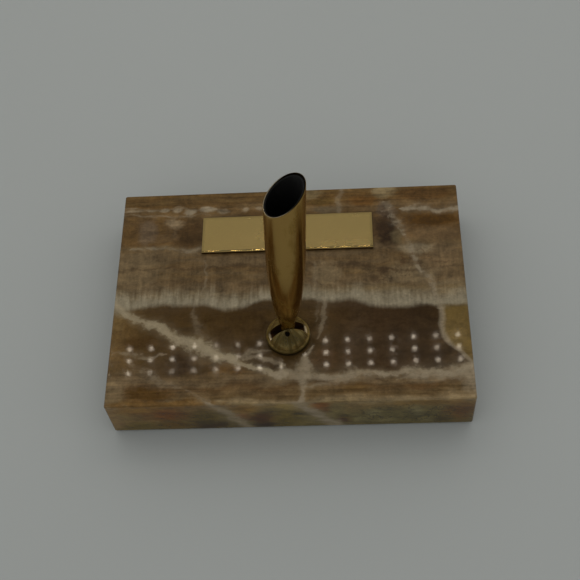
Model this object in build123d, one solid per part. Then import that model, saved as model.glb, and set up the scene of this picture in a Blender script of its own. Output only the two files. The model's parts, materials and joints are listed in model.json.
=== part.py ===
from build123d import *
import os
from math import cos, radians, sin, tan

# Desk pen stand: a stone slab, a name plate and a pen funnel that swivels and tilts.
# Millimetres and degrees. Origin under the slab's middle, +X right, +Y to the back, +Z up.

# Stone slab
slab_width = 152.4
slab_depth = 108.0
slab_thickness = 23.4
slab_edge_radius = 0.9

# Felt pads under the slab's corners
pad_radius = 8.0
pad_thickness = 1.0
pad_inset = 15.0

# Name plate on its mounting tape
plate_length = 76.2
plate_width = 19.05
plate_thickness = 1.2
plate_edge_radius = 0.8
plate_off_middle = -0.85
plate_rear_margin = 15.0
tape_thickness = 0.4
tape_margin = 0.8

# Swivel: place on the slab and heading of the slot at rest
swivel_off_middle = -0.1
swivel_front_margin = 30.6
swivel_heading = 12.0

# Fibre washer that the dome turns on
seat_radius = 8.2
seat_thickness = 0.4

# Turned dome with its skirt, heights above its underside
skirt_radius = 9.2
skirt_height = 2.5
skirt_edge_radius = 0.35
dome_root_step = 1.05
dome_height = 9.8
dome_tip_radius = 0.8
dome_bulge = 1.2
slot_width = 3.6
slot_floor = 3.0

# Cross pin and what turns on it
pin_radius = 1.0
pin_fit = 0.02
pin_front = 4.7
pin_back = 5.5
eye_wall = 1.2
eye_floor_gap = 0.3
running_clearance = 0.06
washer_thickness = 0.24
washer_clearance = 0.06

# Set screw in the front ear, sunk and aimed at the pin
set_screw_radius = 1.0
set_screw_length = 1.6
set_screw_driver_width = 0.3
set_screw_driver_depth = 0.5
set_screw_off_middle = 0.6
set_screw_from_axis = 3.3
set_screw_rise = 3.0
set_screw_tip_gap = 0.05

# Threaded stud, nuts and washers in the counterbore under the slab
stud_radius = 2.5
stud_socket_depth = 2.2
stud_end_chamfer = 0.4
stud_past_nut = 1.0
stud_hole_radius = 3.3
thread_clearance = 0.05
counterbore_radius = 11.0
counterbore_depth = 11.5
flat_washer_radius = 7.5
flat_washer_thickness = 1.0
flat_washer_bore_gap = 0.2
spring_washer_radius = 4.6
spring_washer_thickness = 1.2
spring_washer_bore_gap = 0.1
spring_washer_slit = 0.8
spring_washer_slant = 20.0
nut_across_flats = 8.0
nut_height = 4.0
lock_nut_height = 2.7
nut_corner_angle = 30.0

# Funnel, heights along its axis above the pivot
funnel_lean = 3.2
tube_radius = 7.6
tube_wall = 0.4
taper_top = 60.0
shoulder_height = 20.0
shoulder_radius = 5.5
shoulder_blend = 60.0
neck_height = 6.6
neck_radius = 3.3
mouth_height = 91.8
mouth_slant = 40.0

# Black sleeve inside the funnel
liner_clearance = 0.05
liner_wall = 0.5
liner_floor = 26.0
liner_floor_thickness = 1.2
liner_recess = 0.5

# Tongue under the funnel and its plug inside the neck
tongue_half_width = 3.0
plug_length = 9.0
plug_clearance = 0.03
tongue_seat_gap = 0.02

# Values that follow from the sizes above
slab_bottom = pad_thickness
slab_top = slab_bottom + slab_thickness
plate_y = slab_depth / 2 - plate_rear_margin - plate_width / 2
swivel_y = swivel_front_margin - slab_depth / 2
dome_base = slab_top + seat_thickness
eye_radius = pin_radius + running_clearance + eye_wall
pivot_height = slot_floor + eye_floor_gap + eye_radius
tongue_thickness = slot_width - 2 * (washer_thickness + washer_clearance)
dome_root_radius = skirt_radius - dome_root_step
counterbore_ceiling = slab_bottom + counterbore_depth - dome_base
flat_washer_bottom = counterbore_ceiling - flat_washer_thickness
spring_washer_bottom = flat_washer_bottom - spring_washer_thickness
nut_bottom = spring_washer_bottom - nut_height
lock_nut_bottom = nut_bottom - lock_nut_height
stud_bottom = lock_nut_bottom - stud_past_nut
lip_rise = tube_radius * tan(radians(mouth_slant))
funnel_top = mouth_height + lip_rise
base_up = (Align.CENTER, Align.CENTER, Align.MIN)

# The swivel stands on the slab with its slot along its own X
# The funnel stands on the pivot with its high lip towards its own X
swivel_place = Pos(swivel_off_middle, swivel_y, dome_base) * Rot(0, 0, swivel_heading)
funnel_place = swivel_place * Pos(0, 0, pivot_height) * Rot(0, funnel_lean, 0)


def upright(radius, low, high):
    """Cylinder about Z between two heights."""
    return Pos(0, 0, low) * Cylinder(radius, high - low, align=base_up)


def ring(outer, inner, low, high):
    """Flat ring about Z between two heights."""
    return upright(outer, low, high) - upright(inner, low, high)


def crosswise(radius, low, high):
    """Cylinder about the pivot's cross axis, Y, between two stations."""
    rod = Cylinder(radius, high - low, align=base_up)
    return Pos(0, low, pivot_height) * Rot(-90, 0, 0) * rod


def turned(edges):
    """Solid of revolution about Z from a closed outline in radius and height."""
    return revolve(Plane.XZ * make_face(edges), Axis.Z)


def onyx_slab():
    """Slab with eased edges, drilled for the stud and counterbored from below."""
    block = Pos(0, 0, slab_bottom) * Box(slab_width, slab_depth, slab_thickness, align=base_up)
    block = fillet(block.edges(), slab_edge_radius)
    hole = Pos(swivel_off_middle, swivel_y) * upright(stud_hole_radius, 0, slab_top + slab_thickness)
    sink = Pos(swivel_off_middle, swivel_y) * upright(counterbore_radius, 0, slab_bottom + counterbore_depth)
    return block - hole - sink


def felt_pad(side, end):
    """Round pad under one corner of the slab."""
    disc = upright(pad_radius, 0, pad_thickness)
    return Pos(side * (slab_width / 2 - pad_inset), end * (slab_depth / 2 - pad_inset)) * disc


def name_plate():
    """Thin plate whose upper edges are rolled over."""
    sheet = Box(plate_length, plate_width, plate_thickness, align=base_up)
    sheet = fillet(sheet.edges().group_by(Axis.Z)[-1], plate_edge_radius)
    return Pos(plate_off_middle, plate_y, slab_top + tape_thickness) * sheet


def plate_tape():
    """Mounting tape, a little smaller than the plate."""
    length = plate_length - 2 * tape_margin
    width = plate_width - 2 * tape_margin
    return Pos(plate_off_middle, plate_y, slab_top) * Box(length, width, tape_thickness, align=base_up)


def set_screw_axis():
    """Plane whose Z runs from the pin's axis out through the front ear."""
    target = (0, -set_screw_from_axis, pivot_height)
    return Plane(origin=target, x_dir=(0, 1, 0), z_dir=(-set_screw_off_middle, 0, set_screw_rise))


def swivel_dome():
    """Turned dome with a skirt, slotted right across and drilled for pin, set screw and stud."""
    foot = Line((0, 0), (skirt_radius, 0))
    skirt = Line((skirt_radius, 0), (skirt_radius, skirt_height))
    step = Line((skirt_radius, skirt_height), (dome_root_radius, skirt_height))
    crown = SagittaArc((dome_root_radius, skirt_height), (dome_tip_radius, dome_height), -dome_bulge)
    tip = Line((dome_tip_radius, dome_height), (0, dome_height))
    axis = Line((0, dome_height), (0, 0))
    body = turned([foot, skirt, step, crown, tip, axis])
    rim = body.edges().filter_by(GeomType.CIRCLE).filter_by(lambda e: abs(e.radius - skirt_radius) < 0.001)
    body = fillet(rim, skirt_edge_radius)
    slot = Pos(0, 0, slot_floor) * Box(3 * skirt_radius, slot_width, dome_height, align=base_up)
    pin_hole = crosswise(pin_radius + pin_fit, -pin_front, skirt_radius)
    screw_hole = Cylinder(set_screw_radius + thread_clearance, dome_height, align=base_up)
    stud_hole = upright(stud_radius + thread_clearance, 0, stud_socket_depth)
    return body - slot - pin_hole - set_screw_axis().location * screw_hole - stud_hole


def pivot_pin():
    """Cross pin, blind in the front ear and recessed in the back one."""
    return crosswise(pin_radius, -pin_front, pin_back)


def friction_washers():
    """Pair of thin washers on the pin, one against each ear."""
    pair = []
    for side in (-1, 1):
        face = side * slot_width / 2
        inner = face - side * washer_thickness
        low = min(face, inner)
        high = max(face, inner)
        outline = crosswise(eye_radius, low, high)
        pair.append(outline - crosswise(pin_radius + pin_fit, low, high))
    return Compound(children=pair)


def pin_set_screw():
    """Headless screw with a driver slot, sunk below the dome's face."""
    low = pin_radius + set_screw_tip_gap
    high = low + set_screw_length
    shank = upright(set_screw_radius, low, high)
    driver_size = 3 * set_screw_radius
    driver = Box(driver_size, set_screw_driver_width, set_screw_driver_depth)
    shank = shank - Pos(0, 0, high - set_screw_driver_depth / 2) * driver
    return set_screw_axis().location * shank


def mounting_stud():
    """Stud from the dome's socket down past the lock nut."""
    rod = upright(stud_radius, stud_bottom, stud_socket_depth)
    return chamfer(rod.edges().group_by(Axis.Z)[0], stud_end_chamfer)


def hexagon_nut(low, height):
    """Hexagon nut with both faces bevelled at the corners."""
    flats = nut_across_flats / 2
    corner = flats / cos(radians(30))
    drop = (corner - flats) * tan(radians(nut_corner_angle))
    prism = Pos(0, 0, low) * extrude(RegularPolygon(corner, 6), height)
    base = Line((0, 0), (flats, 0))
    lower = Line((flats, 0), (corner, drop))
    side = Line((corner, drop), (corner, height - drop))
    upper = Line((corner, height - drop), (flats, height))
    top = Line((flats, height), (0, height))
    axis = Line((0, height), (0, 0))
    bevel = Pos(0, 0, low) * turned([base, lower, side, upper, top, axis])
    return (prism & bevel) - upright(stud_radius + thread_clearance, low, low + height)


def spring_washer():
    """Split ring with a slanted slit."""
    inner = stud_radius + spring_washer_bore_gap
    band = ring(spring_washer_radius, inner, spring_washer_bottom, flat_washer_bottom)
    cut = Box(spring_washer_slit, 2 * spring_washer_radius, 4 * spring_washer_thickness)
    height = (spring_washer_bottom + flat_washer_bottom) / 2
    return band - Pos(0, spring_washer_radius, height) * Rot(0, spring_washer_slant, 0) * cut


def flat_washer():
    """Plain washer between the stone and the spring washer."""
    inner = stud_radius + flat_washer_bore_gap
    return ring(flat_washer_radius, inner, flat_washer_bottom, counterbore_ceiling)


def seat_washer():
    """Fibre washer under the skirt."""
    return ring(seat_radius, stud_hole_radius, -seat_thickness, 0)


def funnel_form(inset):
    """Funnel's outer form, drawn in by inset all round: neck, cone, long taper and straight tube."""
    neck = neck_radius - inset
    shoulder = (shoulder_radius - inset, shoulder_height)
    tube = tube_radius - inset
    base = Line((0, neck_height), (neck, neck_height))
    cone = Line((neck, neck_height), shoulder)
    taper = TangentArc((tube, taper_top), shoulder, tangent=(0, -1))
    side = Line((tube, taper_top), (tube, funnel_top))
    top = Line((tube, funnel_top), (0, funnel_top))
    axis = Line((0, funnel_top), (0, neck_height))
    outline = make_face([base, cone, taper, side, top, axis])
    corner = outline.vertices().sort_by_distance(shoulder)[0]
    return revolve(Plane.XZ * fillet(corner, shoulder_blend), Axis.Z)


def below_mouth(solid, recess):
    """What lies under the slanted mouth, moved down the axis by recess."""
    lean = radians(mouth_slant)
    cut = Plane(origin=(0, 0, mouth_height - recess), z_dir=(-sin(lean), 0, cos(lean)))
    return split(solid, bisect_by=cut, keep=Keep.BOTTOM)


def funnel_shell():
    """Thin shell, open at the neck and at its slanted mouth."""
    return below_mouth(funnel_form(0) - funnel_form(tube_wall), 0)


def socket_liner():
    """Sleeve that follows the shell's inside, closed at the bottom."""
    outside = tube_wall + liner_clearance
    sleeve = funnel_form(outside) & upright(tube_radius, liner_floor, funnel_top)
    hollow_floor = liner_floor + liner_floor_thickness
    hollow = funnel_form(outside + liner_wall) & upright(tube_radius, hollow_floor, funnel_top)
    return below_mouth(sleeve - hollow, liner_recess)


def funnel_tongue():
    """Flat tongue with a round eye on the pin, and the plug that fills the shell's neck."""
    seat = neck_height - tongue_seat_gap
    eye = Circle(eye_radius)
    blade = make_hull([*eye.edges(), Line((-tongue_half_width, seat), (tongue_half_width, seat))])
    flat = extrude(Plane.XZ * blade, tongue_thickness / 2, both=True)
    flat = flat - Pos(0, 0, -pivot_height) * crosswise(pin_radius + running_clearance, -slot_width, slot_width)
    plug = funnel_form(tube_wall + plug_clearance) & upright(tube_radius, neck_height, neck_height + plug_length)
    root = upright(neck_radius - tube_wall - plug_clearance, seat, neck_height)
    return flat + root + plug


def parts():
    """Every piece by name, in its place."""
    pieces = {
        "onyx_slab": onyx_slab(),
        "name_plate": name_plate(),
        "plate_adhesive": plate_tape(),
        "seat_washer": swivel_place * seat_washer(),
        "flat_washer": swivel_place * flat_washer(),
        "swivel_dome": swivel_place * swivel_dome(),
        "pivot_pin": swivel_place * pivot_pin(),
        "friction_washers": swivel_place * friction_washers(),
        "pin_set_screw": swivel_place * pin_set_screw(),
        "mounting_stud": swivel_place * mounting_stud(),
        "spring_washer": swivel_place * spring_washer(),
        "tension_nut": swivel_place * hexagon_nut(nut_bottom, nut_height),
        "lock_nut": swivel_place * hexagon_nut(lock_nut_bottom, lock_nut_height),
        "funnel_shell": funnel_place * funnel_shell(),
        "socket_liner": funnel_place * socket_liner(),
        "funnel_tongue": funnel_place * funnel_tongue(),
    }
    for end_name, end in (("front", -1), ("rear", 1)):
        for side_name, side in (("left", -1), ("right", 1)):
            pieces[f"felt_pad_{end_name}_{side_name}"] = felt_pad(side, end)
    return pieces


os.makedirs("parts", exist_ok=True)
for name, shape in parts().items():
    export_step(shape, f"parts/{name}.step")
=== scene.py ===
import json
from math import acos, asin, atan2, cos, pi, radians, sin, sqrt, tan

import bmesh
import bpy
from bpy.props import FloatProperty, FloatVectorProperty, IntProperty, PointerProperty
from bpy.types import Operator, Panel, PropertyGroup
from mathutils import Matrix, Quaternion, Vector


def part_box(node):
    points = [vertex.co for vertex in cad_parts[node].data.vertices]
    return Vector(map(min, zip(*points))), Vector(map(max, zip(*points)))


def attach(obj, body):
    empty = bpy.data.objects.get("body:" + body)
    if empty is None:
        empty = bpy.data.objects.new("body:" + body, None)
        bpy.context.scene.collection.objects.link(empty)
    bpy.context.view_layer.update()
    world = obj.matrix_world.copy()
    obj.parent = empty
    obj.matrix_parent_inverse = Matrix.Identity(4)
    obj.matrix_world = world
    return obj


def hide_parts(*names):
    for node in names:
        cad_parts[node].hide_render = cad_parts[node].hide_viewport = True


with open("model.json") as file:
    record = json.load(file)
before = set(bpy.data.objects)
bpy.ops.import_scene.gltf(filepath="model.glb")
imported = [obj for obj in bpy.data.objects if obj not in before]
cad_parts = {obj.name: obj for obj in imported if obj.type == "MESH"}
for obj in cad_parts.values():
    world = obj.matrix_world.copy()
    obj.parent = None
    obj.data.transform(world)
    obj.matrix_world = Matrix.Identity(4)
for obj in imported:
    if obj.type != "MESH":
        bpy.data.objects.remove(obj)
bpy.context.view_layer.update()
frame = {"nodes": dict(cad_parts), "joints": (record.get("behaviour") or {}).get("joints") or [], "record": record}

bl_info = {
    "name": "Desk Pen Stand",
    "version": (1, 0, 0),
    "blender": (4, 5, 0),
    "location": "3D View > Sidebar > Pen Stand",
    "description": "Dresses the solids of a desk pen stand in their finishes and lights them",
    "category": "Object",
}

MM = 0.001
# Stretches the noise, which keeps near its middle, to about -1 to 1
NOISE_SPREAD = 9.0
# Least light of the stone's grain
LEAST_LIGHT = 0.3
# Linear tints of the stone's golden streaks and of the small lamps
GOLDEN_TINT = (1.05, 0.98, 0.82)
LAMP_TINT = (1.0, 0.86, 0.68)
# Millimetres that patches reach down from the top face and inwards from the front face
TOP_PATCH_REACH = 9
FRONT_PATCH_REACH = 7
# Most that a vein's half width can be, in millimetres
WIDEST_VEIN = 4
# Share of the funnel's height at which its rows begin to slant towards the mouth
SLANT_START = 0.62
# Points of a rolled sheet closer than this are one point
WELD_REACH = 0.001 * MM
# Cells of the felt's nap in a metre
NAP_SCALE = 1400.0
# Facets round the small holes of the dome and round the socket for its stud
HOLE_FACETS = 32
SOCKET_FACETS = 48
# Steps of a small rounded edge and of the dome's side
EDGE_STEPS = 4
DOME_STEPS = 22

# The swivel stands on its joint with the slot along its own X
# The funnel stands on the pivot with its high lip towards its own X
joints = {joint["name"]: joint for joint in frame["joints"]}
mounts = {mount["name"]: mount for mount in frame["record"]["mounts"]}
tilt_axis = Vector(joints["funnel_tilt"]["axis"])
pivot = Vector(joints["funnel_tilt"]["pos_m"])
swivel_base = Vector(joints["swivel_turn"]["pos_m"])
slot_heading = atan2(-tilt_axis.x, tilt_axis.y)
funnel_lean = acos(Vector(mounts["pen_socket"]["axis"]).normalized().z)
heading_turn = Matrix.Rotation(slot_heading, 4, "Z")
swivel_place = Matrix.Translation(swivel_base) @ heading_turn
funnel_place = Matrix.Translation(pivot) @ heading_turn @ Matrix.Rotation(funnel_lean, 4, "Y")
pivot_height = pivot.z - swivel_base.z
slab_low, slab_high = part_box("onyx_slab")
plate_low, plate_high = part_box("name_plate")
stud_low, stud_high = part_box("mounting_stud")
stone_top = slab_high.z / MM
stone_front = slab_low.y / MM


def tone(red, green, blue):
    """Linear colour from the display values, 0 to 255, that a finish shows in even light."""
    linear = []
    for value in (red, green, blue):
        level = value / 255
        linear.append(level / 12.92 if level <= 0.04045 else ((level + 0.055) / 1.055) ** 2.4)
    return tuple(linear)


def amount(name, description, default, **kind):
    """Number from nothing up, with its unit or subtype."""
    return FloatProperty(name=name, description=description, default=default, min=0, **kind)


def length(name, description, default):
    """Length in metres."""
    return FloatProperty(name=name, description=description, default=default, precision=5,
                         subtype="DISTANCE", unit="LENGTH")


def angle(name, description, default):
    """Angle in radians, shown in degrees."""
    return FloatProperty(name=name, description=description, default=default,
                         subtype="ANGLE", unit="ROTATION")


def share(name, description, default, most=1.0):
    """Plain number between nothing and its most."""
    return amount(name, description, default, max=most, subtype="FACTOR")


def count(name, description, default):
    """Whole number from one up."""
    return IntProperty(name=name, description=description, default=default, min=1)


def colour(name, description, *display):
    """Colour of a finish, given by its display values."""
    return FloatVectorProperty(name=name, description=description, default=tone(*display), size=3,
                               min=0, max=1, subtype="COLOR")


def spot(name, description, default):
    """Place in the stand's own frame."""
    return FloatVectorProperty(name=name, description=description, default=default, size=3,
                               subtype="XYZ", unit="LENGTH")


class SlabSettings(PropertyGroup):
    edge_radius: length("Edge radius", "Rounding of the slab's edges", 0.9 * MM)
    hole_radius: length("Hole radius", "Hole through the slab for the stud", 3.3 * MM)
    counterbore_radius: length("Counterbore radius", "Recess for the nuts, from below", 11.0 * MM)
    counterbore_depth: length("Counterbore depth", "Depth of the recess for the nuts", 11.5 * MM)
    dip: share("Layer dip", "How far the layers move to the back for each length down", 0.9, 3)
    drift: share("Vein drift", "How far upright veins move to the right for each length down", 0.62, 3)
    polish: share("Polish", "Roughness of the polished faces", 0.04)
    pitted: share("Pitted", "Roughness in the small pits of the polish", 0.16)
    gloss: share("Gloss", "Strength of the reflection on the polished faces", 0.3)
    ochre: colour("Ochre", "Streaks along the back edge", 84, 65, 36)
    rust: colour("Rust", "Reddish brown patches", 67, 45, 14)
    taupe: colour("Taupe", "Fibrous layers across the middle", 80, 64, 41)
    cream: colour("Cream", "Feathery pale band", 116, 107, 87)
    chocolate: colour("Chocolate", "Dark band", 52, 38, 22)
    umber: colour("Umber", "Dark band towards the left end", 64, 48, 25)
    honey: colour("Honey", "Clear golden end of the dark band", 91, 74, 40)
    vein: colour("Vein", "Broad calcite vein", 130, 118, 94)
    milk: colour("Milk", "Thin white veins and clouds", 126, 114, 93)
    mauve: colour("Mauve", "Purple brown patch beside the plate", 48, 34, 19)
    bark: colour("Bark", "Thin dark veins", 58, 43, 25)
    ash: colour("Ash", "Grey layers low on the front face", 80, 69, 35)


class PlateSettings(PropertyGroup):
    edge_radius: length("Edge radius", "Depth of the rolled front and back edges", 0.28 * MM)
    roll: length("Roll", "Width of the rolled front and back edges", 1.0 * MM)
    end_radius: length("End radius", "Rounding of the plate's ends", 0.25 * MM)
    gold: colour("Gold", "Satin gold of the plate", 238, 206, 134)
    # The rim colour is painted shade on the plate's upright sides all round
    rim: colour("Rim", "Dark cut edge all round the plate", 88, 64, 30)
    satin: share("Satin", "Roughness of the plate's face", 0.26)
    edge_polish: share("Edge polish", "Roughness of the plate's rolled edges", 0.08)


class SwivelSettings(PropertyGroup):
    skirt_radius: length("Skirt radius", "Foot of the dome", 9.2 * MM)
    skirt_height: length("Skirt height", "Height of the straight skirt", 2.5 * MM)
    skirt_edge: length("Skirt edge", "Rounding of the skirt's edges", 0.35 * MM)
    root_radius: length("Root radius", "Dome where it leaves the skirt", 8.15 * MM)
    height: length("Height", "Dome before it is slotted", 9.8 * MM)
    tip_radius: length("Tip radius", "Flat at the top of the dome", 0.8 * MM)
    bulge: length("Bulge", "How far the dome's side stands off its chord", 1.2 * MM)
    slot_width: length("Slot width", "Slot that the tongue swings in", 3.6 * MM)
    slot_floor: length("Slot floor", "Floor of the slot above the underside", 3.0 * MM)
    pin_hole: length("Pin hole radius", "Cross hole for the pivot pin", 1.02 * MM)
    pin_front: length("Pin front", "Depth of the pin's hole in the front ear", 4.7 * MM)
    screw_hole: length("Screw hole radius", "Hole of the set screw", 1.05 * MM)
    screw_reach: length("Screw station", "Set screw's place along the pin", 3.3 * MM)
    screw_slope: angle("Screw slope", "Lean of the set screw from upright", radians(11.31))
    stud_hole: length("Stud hole radius", "Socket for the stud", 2.55 * MM)
    stud_depth: length("Stud hole depth", "Depth of the socket for the stud", 2.2 * MM)
    segments: count("Segments", "Facets round the dome", 120)


class FunnelSettings(PropertyGroup):
    tube_radius: length("Tube radius", "Outside of the straight tube", 7.6 * MM)
    wall: length("Wall", "Thickness of the shell", 0.4 * MM)
    taper_top: length("Taper top", "Where the tube becomes straight, above the pivot", 60.0 * MM)
    shoulder_height: length("Shoulder height", "Where the long taper meets the cone", 20.0 * MM)
    shoulder_radius: length("Shoulder radius", "Radius there", 5.5 * MM)
    shoulder_blend: length("Shoulder blend", "How much the two run into each other", 0.35 * MM)
    neck_height: length("Neck height", "Lower end of the shell, above the pivot", 6.6 * MM)
    neck_radius: length("Neck radius", "Radius there", 3.3 * MM)
    mouth_height: length("Mouth height", "Middle of the slanted mouth", 91.8 * MM)
    mouth_slant: angle("Mouth slant", "Slope of the mouth", radians(40))
    liner_gap: length("Liner gap", "Between the shell and its black sleeve", 0.05 * MM)
    liner_wall: length("Liner wall", "Thickness of the sleeve", 0.5 * MM)
    liner_floor: length("Liner floor", "Underside of the sleeve", 26.0 * MM)
    liner_recess: length("Liner recess", "Sleeve's edge below the mouth", 0.5 * MM)
    lip: length("Lip", "Rounding of the mouth's edge", 0.12 * MM)
    stain_top: length("Stain top", "Where the stains begin, above the pivot", 42 * MM)
    stain_full: length("Stain full", "Where the stains are strongest, above the pivot", 14 * MM)
    soot_start: length("Soot start", "Where the inside turns black, above the pivot", 64 * MM)
    brass: colour("Brass", "Polished brass of the funnel", 174, 140, 80)
    turned: colour("Turned brass", "Brass of the dome", 182, 160, 104)
    tarnish: colour("Tarnish", "Brass where it has dulled", 150, 117, 56)
    # Shade paints the darker sectors between the dome's reflected wedges and painted shade on its skirt
    shade: colour("Shade", "Strokes of the brush on the dome", 116, 98, 54)
    # Pale brass: worn on the funnel's low lip, a painted highlight at the ends of the dome's slot
    bare_brass_and_highlight: colour("Bare brass", "Worn brass at the ends of the slot and on the low lip", 228, 212, 180)
    # Stain is paler than the brass: partly stains, partly a painted highlight low on the funnel
    stain: colour("Stain", "Stained patches low on the funnel", 202, 176, 98)
    # Near black brass inside the funnel's mouth, and painted shade round the dome's foot
    black_brass_and_shade: colour("Soot", "Brass black with age", 26, 19, 11)
    # Painted shade inside the dome's slot
    painted_slot_shade: colour("Grease", "Brown grease in the slot", 84, 56, 32)
    grazing: colour("Grazing tone", "Tint of the brass seen edge on", 238, 228, 208)
    polish: share("Polish", "Roughness of the polished brass", 0.18)
    segments: count("Segments", "Facets round the funnel", 160)
    rows: count("Rows", "Facets along the funnel", 96)


class FastenerSettings(PropertyGroup):
    pitch: length("Thread pitch", "Rise of the stud's thread in one turn", 0.8 * MM)
    depth: length("Thread depth", "Depth of the stud's thread", 0.45 * MM)
    end_taper: length("End taper", "Length over which the thread runs out", 0.6 * MM)
    zinc: colour("Zinc", "Plated steel of the nuts and washers", 196, 196, 190)
    dark: colour("Dark steel", "Oiled steel of the screw and the pin", 48, 43, 37)
    bronze: colour("Bronze", "Thin washers in the slot", 168, 112, 62)
    fibre: colour("Fibre", "Pressed washer under the dome", 58, 44, 32)
    tape: colour("Tape", "Mounting tape under the plate", 52, 50, 46)
    plastic: colour("Plastic", "Black sleeve in the funnel", 14, 13, 12)
    segments: count("Segments", "Facets round the stud", 40)
    rows: count("Rows", "Facets along the stud", 360)


class PadSettings(PropertyGroup):
    felt: colour("Felt", "Wool felt under the slab", 44, 62, 50)
    edge_radius: length("Edge radius", "Rounding of the pads", 0.3 * MM)
    nap: length("Nap", "Height of the felt's uneven surface", 0.05 * MM)
    fibre_length: length("Fibre length", "Loose fibres round the edge", 0.7 * MM)
    fibre_density: amount("Fibre density", "Fibres on each square metre of edge", 1.2e7)
    segments: count("Segments", "Facets round a pad", 96)
    rings: count("Rings", "Facets from a pad's middle to its edge", 24)


class StageSettings(PropertyGroup):
    floor: colour("Floor", "Paper that the stand is on", 146, 149, 146)
    horizon: colour("Horizon", "Tone behind the floor", 136, 139, 136)
    backdrop: colour("Backdrop", "What polished faces see above the floor", 122, 123, 120)
    dim: colour("Front room", "What polished faces see in front of the stand", 62, 62, 60)
    sky: share("Sky", "Even light from all round", 0.88, 4)
    floor_reach: length("Floor reach", "Half of the paper's side", 4.0)
    soft_box: amount("Soft box", "Broad lamp above and behind", 1.2, unit="POWER")
    soft_box_length: length("Soft box length", "Broad lamp from left to right", 1.3)
    soft_box_width: length("Soft box width", "Broad lamp from front to back", 0.7)
    soft_box_place: spot("Soft box place", "Middle of the broad lamp", (0.0, 0.55, 0.95))
    board: colour("Board", "Dark board that carries the small lamps", 60, 60, 58)
    board_length: length("Board length", "Board along the rows of lamps", 0.6)
    board_width: length("Board width", "Board across the rows of lamps", 0.08)
    board_gap: length("Board gap", "Between the lamps and their board", 1 * MM)
    board_thickness: length("Board thickness", "Thickness of the board", 2 * MM)
    lamp_glow: amount("Lamp glow", "Brightness of the rows of small lamps", 25)
    lamp_radius: length("Lamp radius", "Each small lamp", 1.6 * MM)
    lamp_height: length("Lamp height", "Small lamps above the slab", 303 * MM)
    lamp_pitch: length("Lamp pitch", "Small lamps along a row", 16.47 * MM)
    row_pitch: length("Row pitch", "Between the rows of small lamps", 10.23 * MM)
    lamp_middle: spot("Lamp middle", "Middle of the back row, before its height", (-0.0261, 0.1418, 0))
    lamp_turn: angle("Lamp turn", "Turn of the rows", radians(1.13))
    lamp_columns: count("Lamp columns", "Small lamps in a row", 27)
    lamp_rows: count("Lamp rows", "Rows of small lamps", 3)
    eye: spot("Eye", "Camera", (0.026758, -0.239434, 0.410163))
    target: spot("Target", "What the camera looks at", (0.000459, -0.000061, 0.0244))
    roll: angle("Roll", "Camera's turn about its line of sight", radians(-7.153))
    lens: amount("Lens", "Focal length", 65.17, subtype="DISTANCE_CAMERA")


class PenStandSettings(PropertyGroup):
    slab: PointerProperty(type=SlabSettings)
    plate: PointerProperty(type=PlateSettings)
    swivel: PointerProperty(type=SwivelSettings)
    funnel: PointerProperty(type=FunnelSettings)
    fasteners: PointerProperty(type=FastenerSettings)
    pads: PointerProperty(type=PadSettings)
    stage: PointerProperty(type=StageSettings)


class Wiring:
    """Node tree under construction: most calls add a node and return the socket it gives."""

    def __init__(self, tree):
        self.tree = tree

    def add(self, kind, feeds=None, **settings):
        """Node with these settings and with these values or sockets fed to its inputs."""
        node = self.tree.nodes.new(kind)
        for name, value in settings.items():
            setattr(node, name, value)
        for name, value in (feeds or {}).items():
            self.feed(node.inputs[name], value)
        return node

    def feed(self, socket, value):
        if isinstance(value, bpy.types.NodeSocket):
            self.tree.links.new(value, socket)
        elif socket.type == "RGBA" and len(value) == 3:
            socket.default_value = (*value, 1)
        else:
            socket.default_value = value

    def math(self, operation, *values):
        return self.add("ShaderNodeMath", dict(enumerate(values)), operation=operation).outputs[0]

    def plus(self, first, second):
        return self.math("ADD", first, second)

    def minus(self, first, second):
        return self.math("SUBTRACT", first, second)

    def over(self, first, second):
        return self.math("DIVIDE", first, second)

    def times(self, first, *others):
        for other in others:
            first = self.math("MULTIPLY", first, other)
        return first

    def times_plus(self, first, second, third):
        """First times second, and the third added."""
        return self.math("MULTIPLY_ADD", first, second, third)

    def magnitude(self, value):
        return self.math("ABSOLUTE", value)

    def vector(self, operation, *values, scale=None):
        feeds = dict(enumerate(values))
        if scale is not None:
            feeds["Scale"] = scale
        node = self.add("ShaderNodeVectorMath", feeds, operation=operation)
        return node.outputs["Value" if operation in ("LENGTH", "DOT_PRODUCT") else "Vector"]

    def split(self, vector):
        return tuple(self.add("ShaderNodeSeparateXYZ", {0: vector}).outputs)

    def join(self, x, y, z):
        return self.add("ShaderNodeCombineXYZ", {0: x, 1: y, 2: z}).outputs[0]

    def flat(self, value, low, high):
        """Straight passage from 0 at low to 1 at high."""
        return self.add("ShaderNodeMapRange", {0: value, 1: low, 2: high}).outputs[0]

    def step(self, value, low, high, least=0.0, most=1.0):
        """Smooth passage from least at low to most at high."""
        feeds = dict(enumerate((value, low, high, least, most)))
        return self.add("ShaderNodeMapRange", feeds, interpolation_type="SMOOTHSTEP").outputs[0]

    def noise(self, vector, scale=1.0, detail=3.0, rough=0.5, swirl=0.0):
        feeds = {"Vector": vector, "Scale": scale, "Detail": detail, "Roughness": rough, "Distortion": swirl}
        return self.add("ShaderNodeTexNoise", feeds).outputs[0]

    def blend(self, factor, first, second, way="MIX"):
        feeds = {0: factor, 6: first, 7: second}
        return self.add("ShaderNodeMix", feeds, data_type="RGBA", blend_type=way).outputs[2]


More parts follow.
